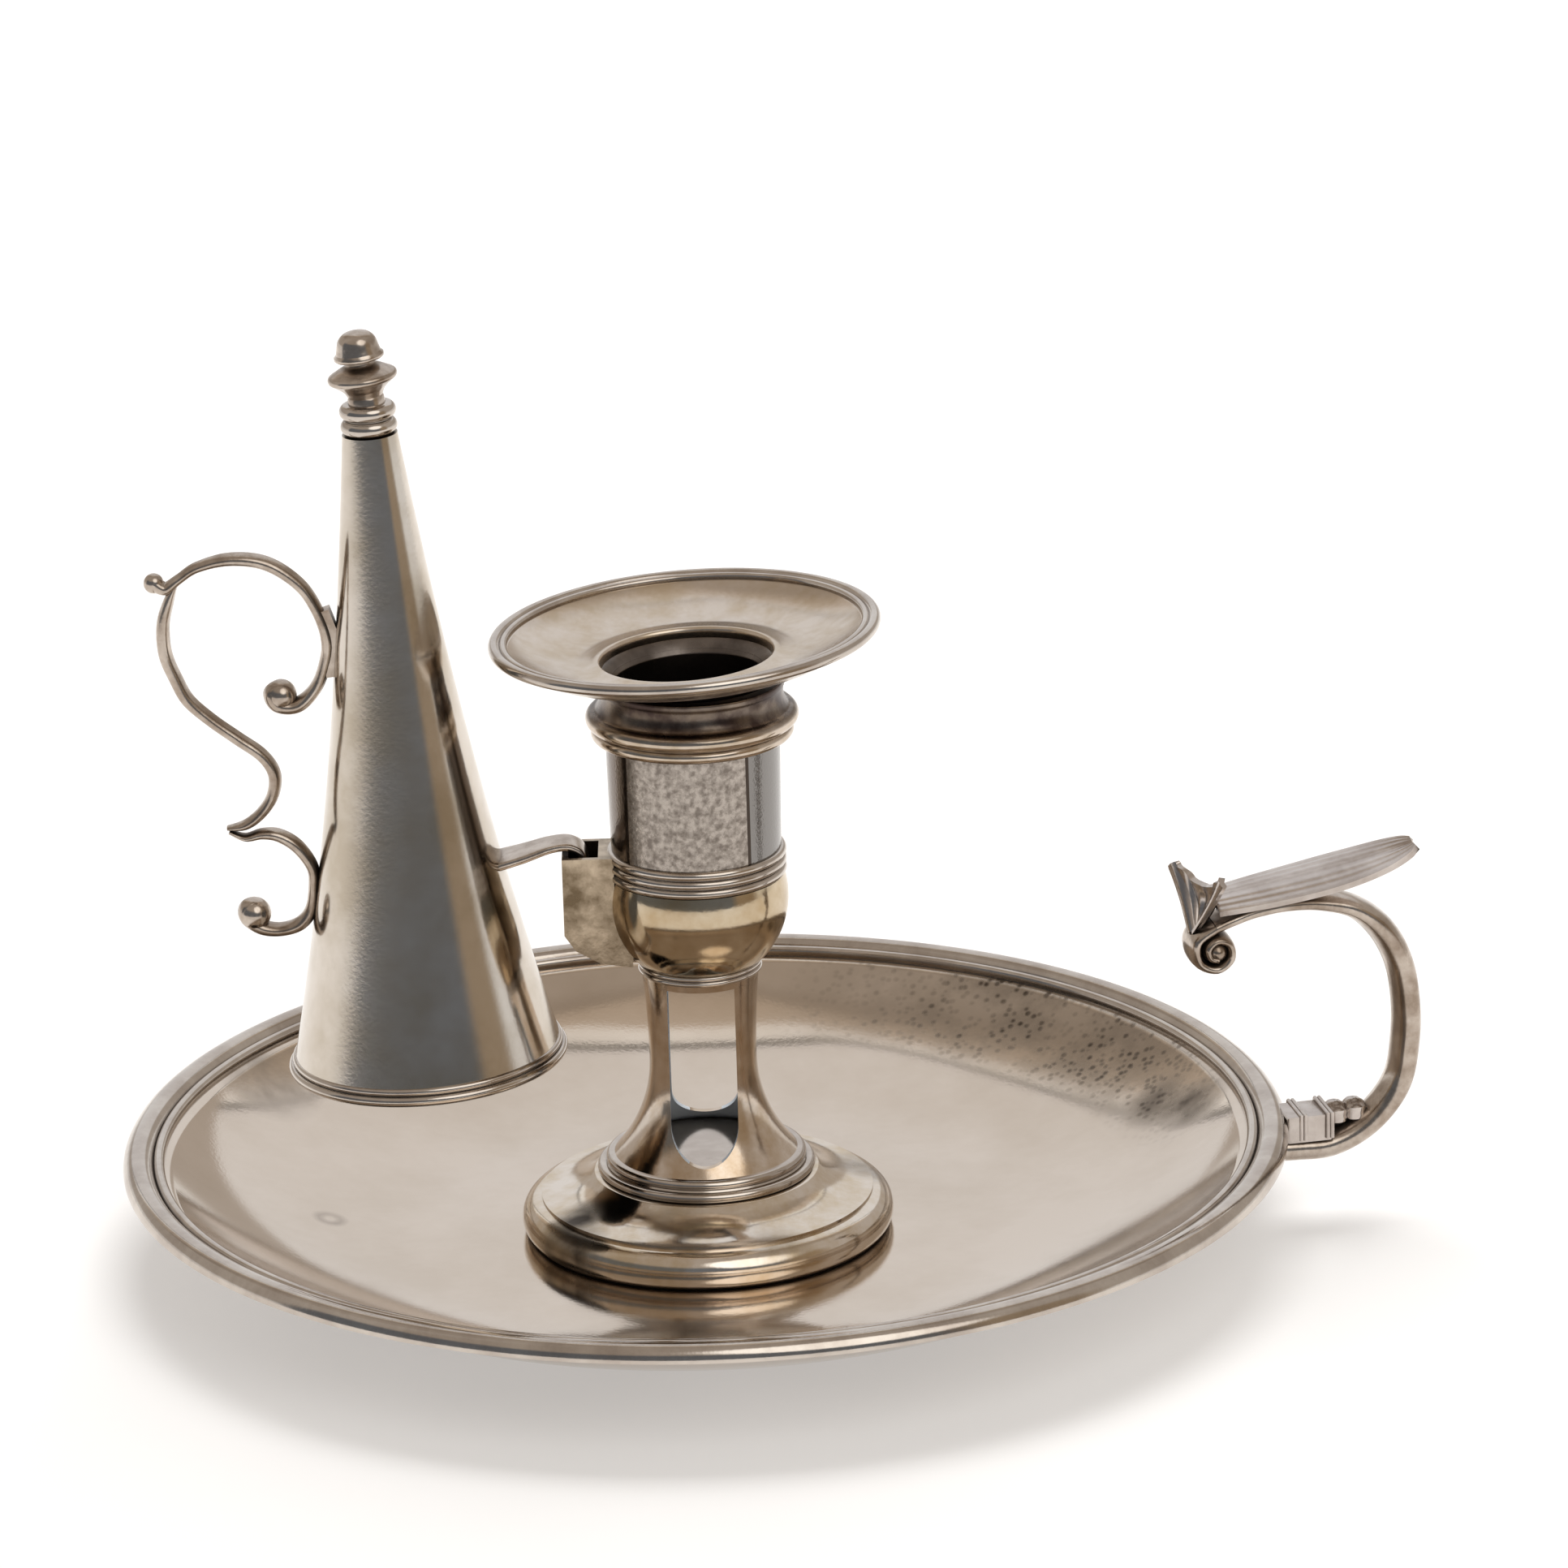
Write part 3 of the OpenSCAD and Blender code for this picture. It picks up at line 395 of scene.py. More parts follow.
def drawn(path, section):
    """Sweeps a section along a path in the XZ plane; path points are (x, z, width, thickness).
    The section is a list of (across, through) from -1 to 1, and both ends are closed."""
    verts, faces, n = [], [], len(path)
    m = len(section)
    for i, p in enumerate(path):
        d = (path[min(i + 1, n - 1)] - path[max(i - 1, 0)]).to_2d().normalized()
        for across, through in section:
            off = through * p[3] / 2
            verts.append((p[0] - d.y * off, across * p[2] / 2, p[1] + d.x * off))
    for i in range(n - 1):
        for k in range(m):
            j = (k + 1) % m
            faces.append((i * m + k, i * m + j, (i + 1) * m + j, (i + 1) * m + k))
    faces += [tuple(range(m - 1, -1, -1)), tuple((n - 1) * m + k for k in range(m))]
    return verts, faces


def together(*parts):
    """Joins the vertices and faces of several meshes of one piece."""
    verts, faces = [], []
    for v, f in parts:
        faces += [tuple(i + len(verts) for i in face) for face in f]
        verts += v
    return verts, faces


def ball(x, y, z, r, flat=1.0, sides=24):
    """Round bead; flat squeezes it across Y."""
    rows = sides // 2
    verts = [(x, y, z + r)]
    for i in range(1, rows):
        t = math.pi * i / rows
        verts += [(x + r * math.sin(t) * math.cos(math.tau * k / sides),
                   y + r * flat * math.sin(t) * math.sin(math.tau * k / sides),
                   z + r * math.cos(t)) for k in range(sides)]
    verts.append((x, y, z - r))
    faces = [(0, 1 + k, 1 + (k + 1) % sides) for k in range(sides)]
    for i in range(rows - 2):
        a, b = 1 + i * sides, 1 + (i + 1) * sides
        faces += [(a + k, b + k, b + (k + 1) % sides, a + (k + 1) % sides) for k in range(sides)]
    last, a = len(verts) - 1, 1 + (rows - 2) * sides
    faces += [(last, a + (k + 1) % sides, a + k) for k in range(sides)]
    return verts, faces

def dish(bore_r, flat_r, edge_r, rise, sheet):
    """Section of a dish: a flat floor, and a wall that sweeps up from it as one arc."""
    bend = ((edge_r - flat_r) ** 2 + rise ** 2) / (2 * rise)
    out_end = -90 + math.degrees(math.asin((edge_r - flat_r) / bend))
    in_end = -90 + math.degrees(math.acos((bend - rise) / (bend - sheet)))
    return ([(bore_r, 0)] + arc(flat_r, bend, bend, -90, out_end, 36)
            + arc(flat_r, bend, bend - sheet, in_end, -90, 36) + [(bore_r, sheet)])


def raised(outline, by):
    """The same outline, higher by a number of millimetres."""
    return [(r, z + by) for r, z in outline]


def cone_r(z):
    """Radius of the snuffer's cone at a height above its mouth."""
    t = 1 - z / CONE_H
    return CONE_TIP_R + (CONE_MOUTH_R - CONE_TIP_R) * (0.68 * t + 0.32 * t ** 2.5)


def make_pan():
    piece("pan_sheet", *turned([dish(0, 35, 71.2, 12.7, 1.1)], 240),
          PAN, "stick", ["pan"])
    wire = (arc(73, 12.8, 2, -3, 152, 20) + [(71.1, 13.45)]
            + arc(70.4, 13.4, 0.7, 35, 190, 10) + [(69.75, 12.7)])
    piece("pan_rim", *turned([wire], 240), WIRE, "stick", ["rim_moulding"])


def make_foot():
    member = ([(0, 1.1), (22.4, 1.1)] + arc(21.35, 3.15, 2.65, -48, 84, 16)
              + [(21.4, 5.85), (21.4, 6.3)] + arc(21.35, 16.25, 9.95, -92, -133, 14)
              + [(14.4, 9.1), (0, 9.1)])
    piece("foot_spun", *turned([member]), FOOT, "stick", ["foot"])
    ring = ([(0, 9.1)] + arc(13.4, 9.75, 0.65, -80, 80, 8) + [(12.9, 10.35)]
            + arc(12.2, 11.0, 0.7, -40, 90, 8) + [(0, 11.7)])
    piece("foot_beads", *turned([ring]), WIRE, "stick", ["foot_ring"])


def stem_r(z):
    """Outer radius of the stem's trumpet at a height above its lower end."""
    bend = 18.65 if z < 12.6 else 120.3
    return 6.9 + bend - math.sqrt(bend ** 2 - (z - 12.6) ** 2)


def make_stem():
    # Heights of the rows of points, each with half the width of the window there.
    rows = [(0, 0), (0.6, 0), (1.1, 0)]
    for k in range(1, 13):
        a = math.radians(7.5 * k)
        rows.append((5.4 - 4.3 * math.cos(a), 4.3 * math.sin(a)))
    rows += [(5.4 + 18.3 * k / 30, 4.3) for k in range(1, 31)] + [(23.71, 0), (24.6, 0)]
    verts, faces, m = [], [], 40
    for side in (1, -1):
        base = len(verts)
        for z, half in rows:
            for r in (stem_r(z), stem_r(z) - 1):
                gap = math.asin(half / r)
                for k in range(m + 1):
                    a = -math.pi / 2 + gap + (math.pi - 2 * gap) * k / m
                    verts.append((side * r * math.cos(a), r * math.sin(a), 11.7 + z))
        step, last = 2 * (m + 1), len(rows) - 1
        for i, (z, half) in enumerate(rows):
            out_row, in_row = base + i * step, base + i * step + m + 1
            for k in range(m):
                if i < last:
                    faces += [(a + k, a + k + 1, a + step + k + 1, a + step + k)
                              for a in (out_row, in_row)]
                if i in (0, last):
                    faces.append((out_row + k, out_row + k + 1, in_row + k + 1, in_row + k))
            if i < last and (half or rows[i + 1][1]):
                faces += [(out_row + k, out_row + step + k, in_row + step + k, in_row + k)
                          for k in (0, m)]
    piece("stem_tube", verts, faces, STEM, "stick", ["stem"], weld=0.003)


def make_socket():
    collar = [(0, 37.7)] + arc(7.6, 37.35, 0.35, 90, -80, 6) + arc(7.6, 36.65, 0.35, 80, -90, 6)
    piece("stem_beads", *turned([collar + [(0, 36.3)]]), WIRE, "stick", ["stem_collar"])
    bowl = (arc(0, 46.19, 11.6, -47, 15.5, 24) + arc(0, 46.19, 10.8, 16.5, -49, 24)
            + [(0, 38.5), (0, 37.7)])
    piece("socket_bowl_raised", *turned([bowl]), SPUN, "stick", ["socket_bowl"])
    reeds = [(10.35, 52.9), (10.35, 49.3)]
    for z in (49.9, 51.1, 52.3):
        reeds += arc(10.9, z, 0.6, -78, 78, 8)
    piece("socket_girdle", *turned([reeds]), WIRE, "stick", ["girdle"])
    drum = [(10.85, 52.9), (11.1, 67.7), (10.35, 67.7), (10.35, 52.9)]
    piece("socket_drum_sheet", *turned([drum]), ETCHED, "stick", ["socket_drum"])
    top = ([(10.35, 67.7)] + arc(12.1, 68.5, 0.8, -90, 60, 10) + [(12.55, 69.3)]
           + arc(12.45, 70.4, 1.1, -75, 85, 14) + arc(14.6, 73.5, 2.95, 222, 163, 8)
           + eased([(11.85, 74.46), (11.85, 75.2), (10.35, 75.2)], 0.3, closed=False))
    piece("socket_mouth", *turned([top]), MOUTH, "stick", ["socket_top"])


def make_nozzle():
    tray = raised(dish(10.9, 12.5, 24.15, 4.1, 0.9), 1)
    tray[-7:] = flowing([(13.8, 2.0), (13.0, 2.05), (12.3, 2.15), (11.7, 2.3), (11.25, 2.3),
                         (10.95, 1.95), (10.9, 1.3)], 5)
    piece("nozzle_tray", *turned([tray]), TRAY, "nozzle", ["nozzle_pan"], ON_SOCKET)
    wire = (arc(24.15, 5.33, 0.75, -100, 140, 16) + arc(23.0, 5.35, 0.5, 30, 200, 10)
            + [(22.6, 4.6)])
    piece("nozzle_wire", *turned([wire]), WIRE, "nozzle", ["nozzle_rim"], ON_SOCKET)
    tube = [(9.3, -0.6), (9.3, -13.6), (9.7, -13.6), (9.7, 0), (12.4, 0), (12.4, 1), (10.9, 1),
            (10.2, 0.5)]
    piece("nozzle_tube_sheet", *turned([eased(tube, 0.15)]), DARK_TUBE, "nozzle",
          ["nozzle_tube"], ON_SOCKET)


def make_snuffer():
    outer = [(cone_r(CONE_H * i / 40), CONE_H * i / 40) for i in range(41)]
    inner = [(max(cone_r(z) - 0.8, 0.1), z) for z in
             [(CONE_H - 1.6) * i / 40 for i in range(40, -1, -1)]]
    cone = outer + [(0, CONE_H), (0, CONE_H - 1.6)] + inner
    piece("snuffer_sheet", *turned([cone]), RAISED, "snuffer", ["snuffer_cone"], ON_SNUFFER)
    mouth = (arc(CONE_MOUTH_R - 0.2, 0.65, 0.65, -100, 70, 10) + arc(cone_r(1.7) - 0.2, 1.7, 0.52, -60, 90, 8)
             + [(cone_r(2) - 0.3, 2.1), (cone_r(0) - 0.3, 0.02)])
    piece("snuffer_mouth", *turned([mouth]), WIRE, "snuffer", ["mouth_ring"], ON_SNUFFER)
    reeds = ([(0, 83.7)] + arc(2.6, 84.7, 1.0, -90, 75, 10) + arc(2.6, 86.7, 1.0, -75, 90, 10)
             + [(0, 87.7)])
    piece("snuffer_reeds", *turned([reeds]), WIRE, "snuffer", ["snuffer_collar"], ON_SNUFFER)
    knob = ([(0, 0), (2.35, 0), (2.3, 0.9)] + flowing([(2.2, 1.1), (2.7, 2.0), (3.9, 3.0)], 4)
            + arc(3.85, 3.6, 0.55, -60, 60, 8)
            + flowing([(3.9, 4.2), (2.9, 4.75), (2.0, 5.2), (1.9, 5.75)], 4)
            + [(3.0, 5.95), (3.15, 6.1), (3.15, 6.45)]
            + flowing([(2.85, 6.75), (2.7, 7.3), (2.35, 8.5), (1.45, 9.3), (0, 9.6)], 6))
    piece("snuffer_knob", *turned([knob], 96), CAST, "snuffer", ["finial"], ON_TIP)


def keeled(p=2.2, steps=20, keel=0.12):
    """Section of a cast strap: a soft oval with a low keel along its outer side."""
    out = []
    for k in range(steps):
        a = math.tau * k / steps
        c, s = math.cos(a), math.sin(a)
        across = math.copysign(abs(s) ** (2 / p), s)
        through = math.copysign(abs(c) ** (2 / p), c)
        if c > 0:
            through += keel * max(0.0, 1 - abs(across) * 2.2)
        out.append((across, through))
    return out


def make_snuffer_handle():
    arch = flowing([(-29.0, 66.3, 2.6, 1.9), (-27.5, 65.4, 2.6, 1.6), (-25.7, 66.5, 2.6, 1.2),
                    (-23.2, 67.9, 2.6, 1.3), (-19.0, 68.6, 2.8, 1.6), (-14.5, 67.7, 3.0, 1.7),
                    (-10.7, 64.7, 3.0, 1.6), (-8.7, 61.0, 3.0, 1.5), (-7.8, 57.0, 3.0, 1.6),
                    (-8.5, 53.8, 3.0, 1.5), (-9.9, 50.9, 3.2, 1.6), (-12.2, 48.9, 3.6, 1.9),
                    (-14.7, 49.1, 3.8, 2.1), (-15.5, 50.6, 3.6, 1.9), (-14.5, 51.5, 3.0, 1.3),
                    (-13.5, 50.9, 2.4, 0.9)])
    run = flowing([(-26.3, 65.6, 2.0, 0.6), (-27.3, 63.7, 2.4, 1.3), (-28.3, 60.7, 2.6, 1.6),
                   (-28.4, 56.9, 2.8, 1.7), (-27.4, 53.5, 2.8, 1.7), (-26.1, 50.5, 2.8, 1.7),
                   (-23.5, 47.7, 2.8, 1.6), (-20.4, 45.0, 2.8, 1.6), (-17.5, 42.5, 2.8, 1.6),
                   (-16.2, 40.0, 2.8, 1.6), (-16.6, 37.2, 2.8, 1.5), (-18.2, 34.9, 2.8, 1.4),
                   (-20.4, 33.4, 2.6, 1.2), (-22.8, 33.1, 1.6, 0.5)])
    section = keeled()
    lug = eased([(-8.6, 61.0), (-7.2, 61.4), (-6.1, 57.5), (-6.8, 52.5), (-8.3, 52.4),
                 (-8.5, 56.5)])
    n = len(lug)
    seat = ([(x, y, z) for y in (-1.1, 1.1) for x, z in lug],
            [tuple(range(n - 1, -1, -1)), tuple(range(n, 2 * n))]
            + [(k, (k + 1) % n, n + (k + 1) % n, n + k) for k in range(n)])
    piece("snuffer_scroll", *together(drawn(arch, section), drawn(run, section), seat,
                                      ball(-28.9, 0, 66.2, 1.3), ball(-14.3, 0, 50.3, 2.0, 1.1)),
          CAST, "snuffer", ["snuffer_handle"], ON_SNUFFER)
    spur = flowing([(-22.6, 32.6, 1.6, 0.5), (-20.6, 31.7, 2.4, 0.9), (-18.4, 32.0, 2.6, 1.3),
                    (-16.3, 31.6, 2.8, 1.6), (-14.1, 29.9, 2.8, 1.7), (-12.5, 27.0, 2.8, 1.5),
                    (-12.6, 24.2, 2.8, 1.4), (-13.2, 21.4, 2.8, 1.6), (-14.8, 19.6, 3.0, 1.7),
                    (-17.3, 19.0, 3.0, 1.6), (-19.7, 19.5, 3.2, 1.8), (-21.4, 21.0, 3.4, 1.9),
                    (-21.3, 22.4, 3.2, 1.7), (-20.1, 22.8, 2.8, 1.2), (-19.5, 22.0, 2.2, 0.8)])
    piece("snuffer_lower_scroll", *together(drawn(spur, section),
                                            ball(-20.4, 0, 21.4, 2.1, 1.1)),
          CAST, "snuffer", ["snuffer_spur"], ON_SNUFFER)
    strap = flowing([(11.2, 26.1, 6.6, 1.3), (14.5, 26.8, 6.0, 1.2), (18.1, 27.7, 5.0, 1.1),
                     (20.7, 27.6, 4.6, 1.1), (22.1, 25.8, 4.6, 1.1), (22.1, 20.2, 4.4, 1.0)])
    piece("snuffer_strap", *drawn(strap, keeled(5, 24, 0)), CAST, "snuffer",
          ["snuffer_hook"], ON_SNUFFER)


def plate(rows, thickness):
    """Solid sheet over a grid of points: rows of equal length give its outer face, and each
    point's inner twin lies thickness behind it, along the face's own normal."""
    rows = [[Vector(p) for p in row] for row in rows]
    n, m = len(rows), len(rows[0])
    backs = []
    for i in range(n):
        for k in range(m):
            along = rows[min(i + 1, n - 1)][k] - rows[max(i - 1, 0)][k]
            over = rows[i][min(k + 1, m - 1)] - rows[i][max(k - 1, 0)]
            backs.append(rows[i][k] - along.cross(over).normalized() * thickness)
    verts = [p for row in rows for p in row] + backs
    faces = [(i * m + k, i * m + k + 1, (i + 1) * m + k + 1, (i + 1) * m + k)
             for i in range(n - 1) for k in range(m - 1)]
    half = n * m
    faces += [tuple(half + v for v in reversed(face)) for face in faces]
    rim = ([k for k in range(m)] + [i * m + m - 1 for i in range(1, n)]
           + [(n - 1) * m + k for k in range(m - 2, -1, -1)]
           + [i * m for i in range(n - 2, 0, -1)])
    faces += [(a, a + half, b + half, b) for a, b in zip(rim, rim[1:] + rim[:1])]
    return verts, faces


def make_handle():
    strap = flowing([(-5, 10, 6.4, 3.3), (0.4, 9.6, 6.2, 3.3), (5.8, 9.7, 6.0, 3.3),
                     (11, 12.3, 5.8, 3.2), (14.7, 17, 5.8, 3.2), (15.85, 23, 6.0, 3.3),
                     (15.85, 28.4, 6.2, 3.3), (14.9, 33.8, 6.4, 3.3), (12.6, 38.3, 6.4, 3.2),
                     (9, 41.4, 6.2, 2.6), (4.4, 42.8, 6.0, 2.2), (0, 43.1, 5.8, 2.0),
                     (-4.4, 42.6, 5.6, 1.9), (-7.4, 41.8, 5.8, 1.8), (-9.8, 41.0, 6.0, 1.7)])
    centre, coil = Vector((-9.8, 37.9)), []
    for k in range(10):
        a = math.radians(90 + 60 * k)
        r = 3.1 * (1 - 0.08 * k)
        coil.append((centre.x + r * math.cos(a), centre.y + r * math.sin(a),
                     6.0 + 0.16 * k, 1.7 - 0.06 * k))
    section = keeled(2.6, 24, 0.16)
    piece("handle_strap", *together(drawn(strap, section), drawn(flowing(coil, 5), section),
                                    ball(centre.x, 0, centre.y, 1.8, 2.1)),
          CAST, "stick", ["handle_scroll"], ON_RIM)


def make_thumb_piece():
    # A long ribbed leaf: a vein down its middle, flutes to either side, and a cupped tip.
    edge = flowing([(0, 3.4), (7, 4.2), (15.5, 4.5), (22, 3.8), (25.6, 2.6), (27, 1.3)], 8)
    rows = []
    for x, half in edge:
        s = x / 27
        rows.append([])
        for k in range(41):
            v = k / 20 - 1
            vein = 0.25 * math.exp(-(v / 0.09) ** 2)
            flutes = 0.06 * math.cos(v * 21) * min(1, 3 * (1 - abs(v)))
            cup = 1.1 * s ** 4 + 0.7 * s ** 3 * v * v
            crown = 1.35 - 0.55 * v * v
            rows[-1].append((x, v * half, crown + flutes - vein + cup))
    on_strap = (ON_RIM @ Matrix.Translation((-9.6, 0, 43.3))
                @ Matrix.Rotation(-math.radians(8), 4, "Y")
                @ Matrix.Rotation(math.radians(8), 4, "X"))
    leaf = plate(rows, 0.9)
    leaf = ([ON_RIM.inverted() @ on_strap @ v for v in leaf[0]], leaf[1])
    # A two-lobed palmette that stands over the rolled end, hollow towards the strap.
    foot = Vector((-12.2, -0.6, 39.6))
    tips = flowing([(-9.3, -5.2, 47.6), (-9.6, -4.6, 48.5), (-10.2, -3.0, 47.4), (-10.9, 0, 46.4),
                    (-12.2, 2.6, 47.2), (-13.2, 4.3, 48.3), (-13.4, 5.2, 47.2)], 5)
    rows = []
    for i in range(13):
        s = 0.06 + 0.94 * i / 12
        rows.append([])
        for k, tip in enumerate(tips):
            v = 2 * k / (len(tips) - 1) - 1
            flute = 0.16 * math.cos(v * 19) * math.sin(math.pi * min(1, s)) + 0.16 * s * math.cos(v * 19)
            hollow = 1.5 * math.sin(math.pi * s * 0.9) * (1 - v * v)
            p = foot + (tip - foot) * s
            rows[-1].append(p + Vector((hollow + flute, 0.3 * hollow, 0)))
    fan = plate([row[::-1] for row in rows], 0.8)
    piece("thumb_leaf", *together(leaf, fan), THUMBED, "stick", ["thumb_piece"], ON_RIM, sharp=60)


def melon(x, z, r, ribs=7):
    """Ribbed bead on the strap, its ribs running along the handle."""
    verts, faces = ball(x, 0, z, r, 1.15, 28)
    out = []
    for v in verts:
        off = Vector(v) - Vector((x, 0, z))
        turn = math.atan2(off.z, off.y)
        out.append(Vector((x, 0, z)) + off * (1 + 0.07 * math.cos(ribs * turn)))
    return out, faces


def bar(x0, x1, half, z0, z1, ease):
    """Block with eased edges, between two places along the handle."""
    outline = eased([(half, z0), (half, z1), (-half, z1), (-half, z0)], ease, 5)
    n = len(outline)
    inset = [(y * (1 - ease * 0.5 / half), z0 + (z - z0) * (1 - ease * 0.5 / (z1 - z0)))
             for y, z in outline]
    rings = [(x0, inset), (x0 + ease * 0.6, outline), (x1 - ease * 0.6, outline), (x1, inset)]
    verts = [(x, y, z) for x, ring in rings for y, z in ring]
    faces = [(i * n + k, i * n + (k + 1) % n, (i + 1) * n + (k + 1) % n, (i + 1) * n + k)
             for i in range(3) for k in range(n)]
    return verts, faces + [tuple(range(n - 1, -1, -1)), tuple(3 * n + k for k in range(n))]


def make_root():
    parts = [bar(-0.8, 5.2, 3.0, 10.9, 14.4, 0.5)]
    for x in (0.8, 1.35, 4.35, 4.9):
        parts.append(bar(x, x + 0.5, 3.3, 11.2, 14.75, 0.25))
    parts += [melon(6.4, 13.4, 1.7), melon(8.9, 13.6, 1.65)]
    piece("handle_block", *together(*parts), THUMBED, "stick", ["handle_root"], ON_RIM, sharp=40)


# ---- dressing the model ----

make_pan()
make_foot()
make_stem()
make_socket()
make_nozzle()
make_snuffer()
make_snuffer_handle()
make_handle()
make_thumb_piece()
make_root()
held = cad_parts["hook_bracket"].data.materials
held.clear()
held.append(BROWNED)


# ---- camera, table and studio ----

EYE_HEIGHT = math.radians(18.46)
EYE_ROLL = math.radians(-1.67)
back = Vector((0, -math.cos(EYE_HEIGHT), math.sin(EYE_HEIGHT)))
level = Vector((1, 0, 0))
upright = back.cross(level)
across = level * math.cos(EYE_ROLL) + upright * math.sin(EYE_ROLL)
above = -level * math.sin(EYE_ROLL) + upright * math.cos(EYE_ROLL)
lens = bpy.data.cameras.new("camera")
lens.sensor_width = 36
lens.lens = 180.7
camera = bpy.data.objects.new("camera", lens)
bpy.context.scene.collection.objects.link(camera)
stand = Matrix((across, above, back)).transposed().to_4x4()
stand.translation = (Vector((11.4, 0, 60.7)) + back * 1000) * MM
camera.matrix_world = stand
bpy.context.scene.camera = camera

# White acrylic, lit from under so that shadows on it stay pale: no gloss, a faint tooth.
paper = bpy.data.materials.new("lit_white_acrylic")
paper.use_nodes = True
t = paper.node_tree
t.nodes.clear()
at = add(t, "ShaderNodeTexCoord").outputs["Object"]
tooth = add(t, "ShaderNodeTexNoise", {"Vector": at, "Scale": per_metre(0.8)}).outputs["Fac"]
press = add(t, "ShaderNodeBump", {"Height": tooth, "Distance": 0.01 * MM})
sheet = add(t, "ShaderNodeBsdfPrincipled", {"Base Color": linear("#d3d2d1"), "Roughness": 0.9,
            "Specular IOR Level": 0.1, "Normal": press.outputs["Normal"],
            "Emission Color": (1, 1, 1, 1), "Emission Strength": 0.35})
add(t, "ShaderNodeOutputMaterial", {"Surface": sheet.outputs["BSDF"]})
table = bpy.data.meshes.new("table")
edge = [(0.9 * math.cos(math.tau * k / 96), 0.9 * math.sin(math.tau * k / 96), -0.00005)
        for k in range(96)]
table.from_pydata(edge, [], [tuple(range(96))])
table.materials.append(paper)
floor = bpy.data.objects.new("table", table)
bpy.context.scene.collection.objects.link(floor)

# Studio, in angles seen from the table: turn is 0 straight behind it and 180 degrees at the
# camera, lift is 0 at the horizon. A tall white screen with rounded corners stands behind; its
# dark frame and the strip of light past it draw the lines in the pan's wall.
world = bpy.data.worlds.new("studio")
world.use_nodes = True
bpy.context.scene.world = world
w = world.node_tree
w.nodes.clear()
way = add(w, "ShaderNodeSeparateXYZ", {0: add(w, "ShaderNodeTexCoord").outputs["Generated"]})
signed = add(w, "ShaderNodeMath", {0: way.outputs["X"], 1: way.outputs["Y"]},
             operation="ARCTAN2").outputs["Value"]
turn = add(w, "ShaderNodeMath", {0: signed}, operation="ABSOLUTE").outputs["Value"]
lift = add(w, "ShaderNodeMath", {0: way.outputs["Z"]}, operation="ARCSINE").outputs["Value"]
off = add(w, "ShaderNodeMath", {0: signed, 1: math.radians(4)}, operation="SUBTRACT")
off = add(w, "ShaderNodeMath", {0: off.outputs["Value"]}, operation="ABSOLUTE").outputs["Value"]
off = add(w, "ShaderNodeMath", {0: off, 1: 1.5}, operation="MULTIPLY").outputs["Value"]
off = add(w, "ShaderNodeCombineXYZ", {"X": off, "Y": lift}).outputs["Vector"]
off = add(w, "ShaderNodeVectorMath", {0: off, 1: (math.radians(30.5), math.radians(52), 0)},
          operation="SUBTRACT").outputs["Vector"]
off = add(w, "ShaderNodeVectorMath", {0: off, 1: (0, 0, 0)}, operation="MAXIMUM").outputs["Vector"]
off = add(w, "ShaderNodeVectorMath", {0: off}, operation="LENGTH").outputs["Value"]
off = add(w, "ShaderNodeMath", {0: off, 1: math.radians(90)}, operation="DIVIDE").outputs["Value"]
SCREEN = [(9.6, "#f0f0f2"), (10.3, "#5a5652"), (11.7, "#5a5652"), (12.4, "#ffffff"),
          (17, "#ffffff"), (19, "#cdc1b4"), (28, "#c6b9ab"), (35, "#a2978c"), (60, "#b4aaa0")]
walls = add(w, "ShaderNodeValToRGB", {"Fac": off})
stops = walls.color_ramp.elements
stops.remove(stops[1])
for number, (angle, colour) in enumerate(SCREEN):
    stop = stops[0] if number == 0 else stops.new(angle / 90)
    stop.position = angle / 90
    stop.color = linear(colour)
shade = walls.outputs["Color"]


def between(value, start, end):
    """Goes smoothly from 0 at the start angle to 1 at the end angle, in degrees."""
    return add(w, "ShaderNodeMapRange", {"Value": value, "From Min": math.radians(start),
               "From Max": math.radians(end)}, interpolation_type="SMOOTHSTEP").outputs["Result"]


def mixed(factors, under, over):
    """Lays a colour over another where both factors are 1."""
    both = add(w, "ShaderNodeMath", {0: factors[0], 1: factors[1]}, operation="MULTIPLY")
    return add(w, "ShaderNodeMix", {"Factor": both.outputs["Value"], 6: under, 7: linear(over)},
               data_type="RGBA").outputs[2]


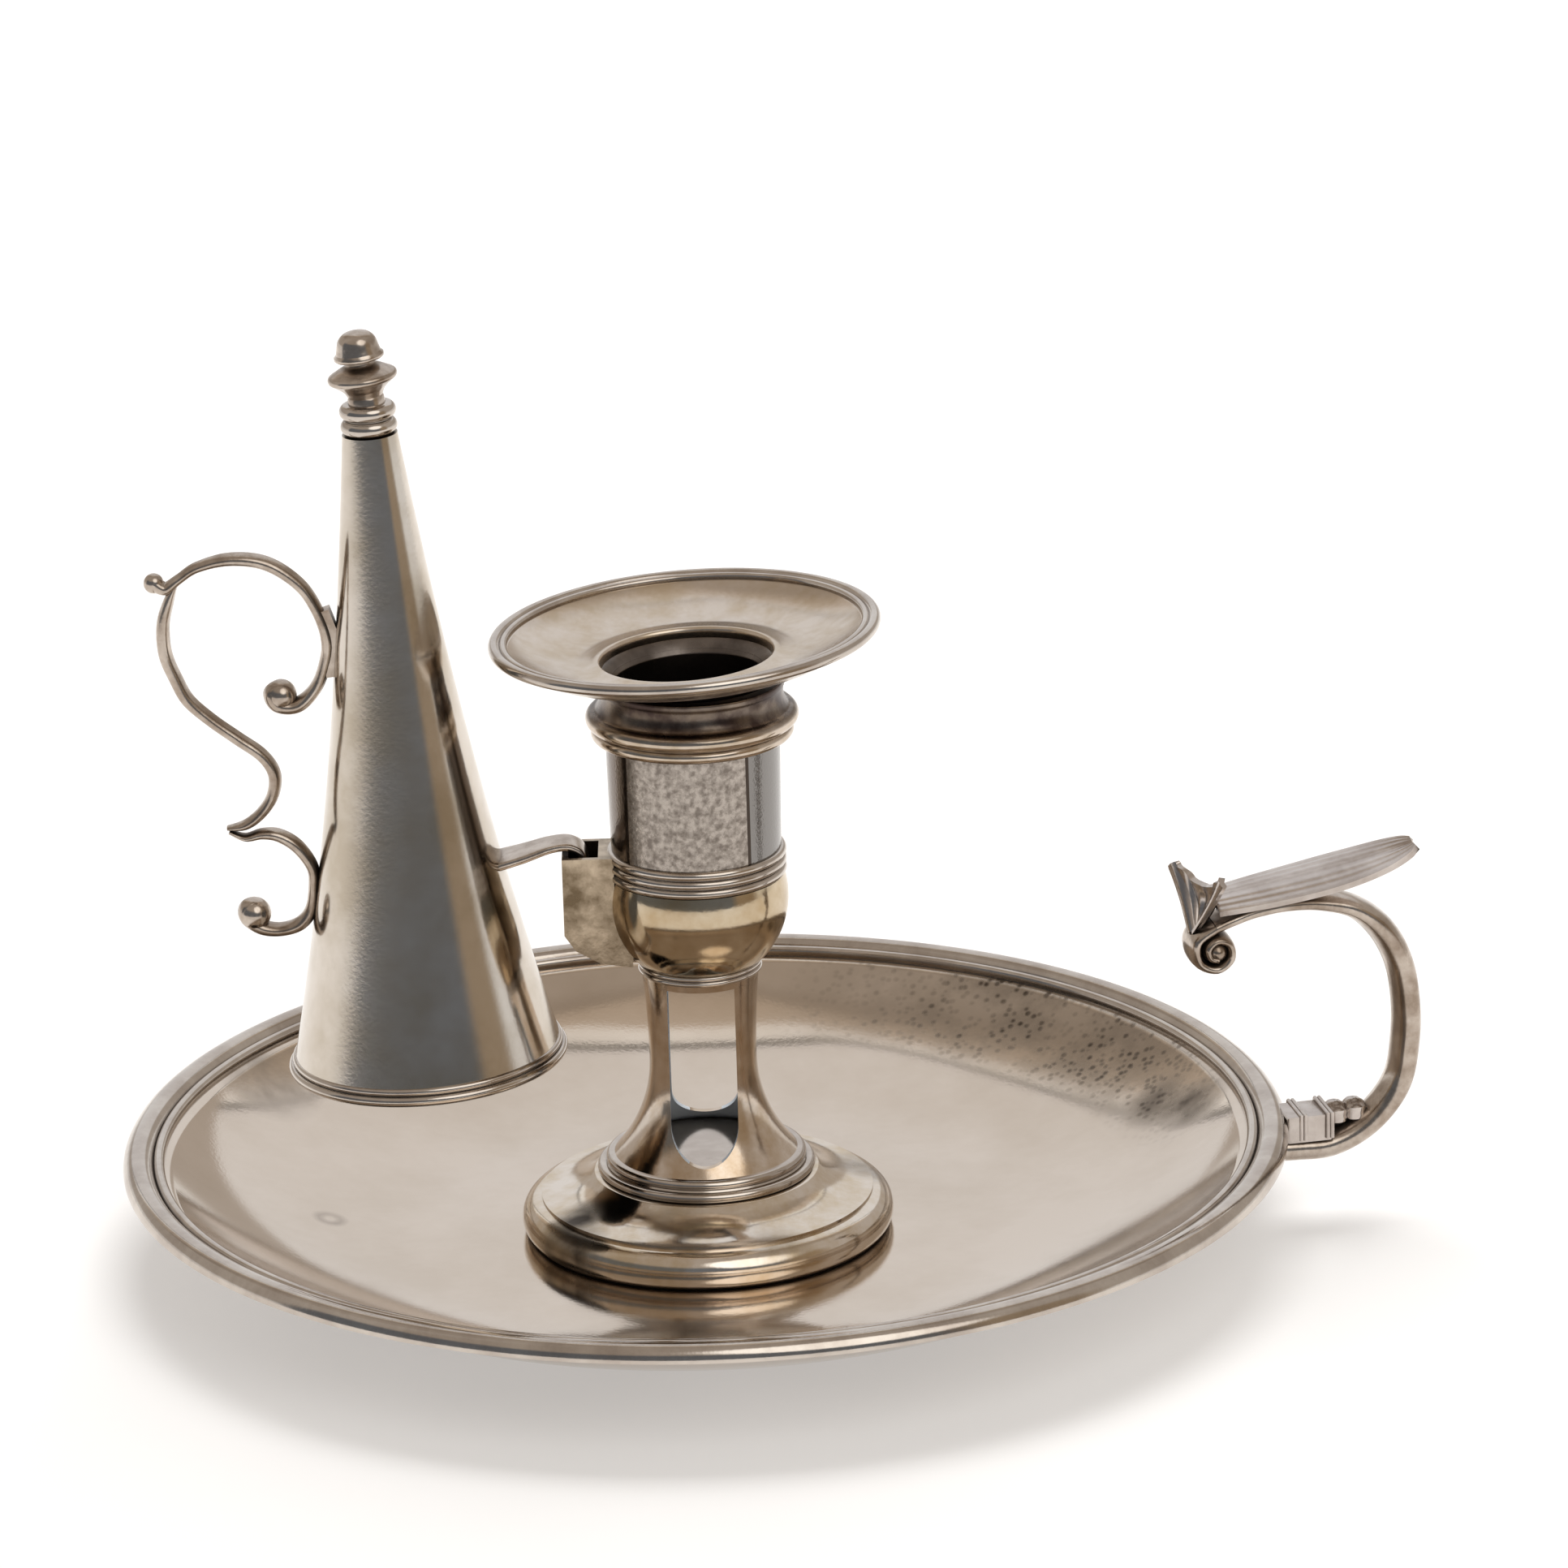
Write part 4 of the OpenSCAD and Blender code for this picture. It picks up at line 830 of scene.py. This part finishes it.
# Below the screen a duller skirt hangs in two slopes; then the bright foot of the walls, the
# brown wall to the right, the dim room round the camera and the lamp high in front.
slope = add(w, "ShaderNodeMath", {0: signed, 1: math.radians(5)}, operation="ADD")
slope = add(w, "ShaderNodeMath", {0: slope.outputs["Value"]}, operation="ABSOLUTE")
slope = add(w, "ShaderNodeMath", {0: slope.outputs["Value"], 1: -0.75, 2: lift},
            operation="MULTIPLY_ADD").outputs["Value"]
shade = mixed((between(slope, 0.6, -0.6), between(turn, 115, 95)), shade, "#beb6ae")
shade = mixed((between(lift, 7, 4), between(turn, 115, 95)), shade, "#f1f0ef")
shade = mixed((between(lift, 40, 28), between(signed, 95, 108)), shade, "#a3927d")
shade = mixed((between(lift, 40, 28), between(signed, 125, 138)), shade, "#70747a")
shade = mixed((between(lift, 40, 28), between(signed, -90, -96)), shade, "#70747a")
lamp_way = add(w, "ShaderNodeVectorMath", {0: add(w, "ShaderNodeTexCoord").outputs["Generated"],
               1: Vector((0.36, -0.6, 0.71)).normalized()}, operation="DOT_PRODUCT")
lamp_face = add(w, "ShaderNodeMapRange", {"Value": lamp_way.outputs["Value"], "From Min": 0.9,
                "From Max": 0.95}, interpolation_type="SMOOTHSTEP").outputs["Result"]
shade = add(w, "ShaderNodeMix", {"Factor": lamp_face, 6: shade, 7: (1.7, 1.66, 1.6, 1)},
            data_type="RGBA").outputs[2]
seen = add(w, "ShaderNodeLightPath").outputs["Is Camera Ray"]
shade = mixed((seen, 1.0), shade, "#ffffff")
air = add(w, "ShaderNodeBackground", {"Color": shade, "Strength": 1.0})
add(w, "ShaderNodeOutputWorld", {"Surface": air.outputs["Background"]})


def softbox(name, place, aim, width, depth, power):
    """Rectangular soft light, given by where it stands and what it looks at, in metres. It
    lights the table; the silver mirrors the studio's walls and not the lamp."""
    data = bpy.data.lights.new(name, "AREA")
    data.shape = "RECTANGLE"
    data.size, data.size_y = width, depth
    data.energy = power
    lamp = bpy.data.objects.new(name, data)
    bpy.context.scene.collection.objects.link(lamp)
    lamp.location = place
    lamp.rotation_mode = "QUATERNION"
    lamp.rotation_quaternion = (Vector(aim) - Vector(place)).to_track_quat("-Z", "Y")
    lamp.visible_glossy = False


softbox("overhead_box", (0.1, 0.75, 1.3), (0, 0, 0.03), 0.9, 0.9, 17)
bpy.context.scene.view_settings.view_transform = "Standard"
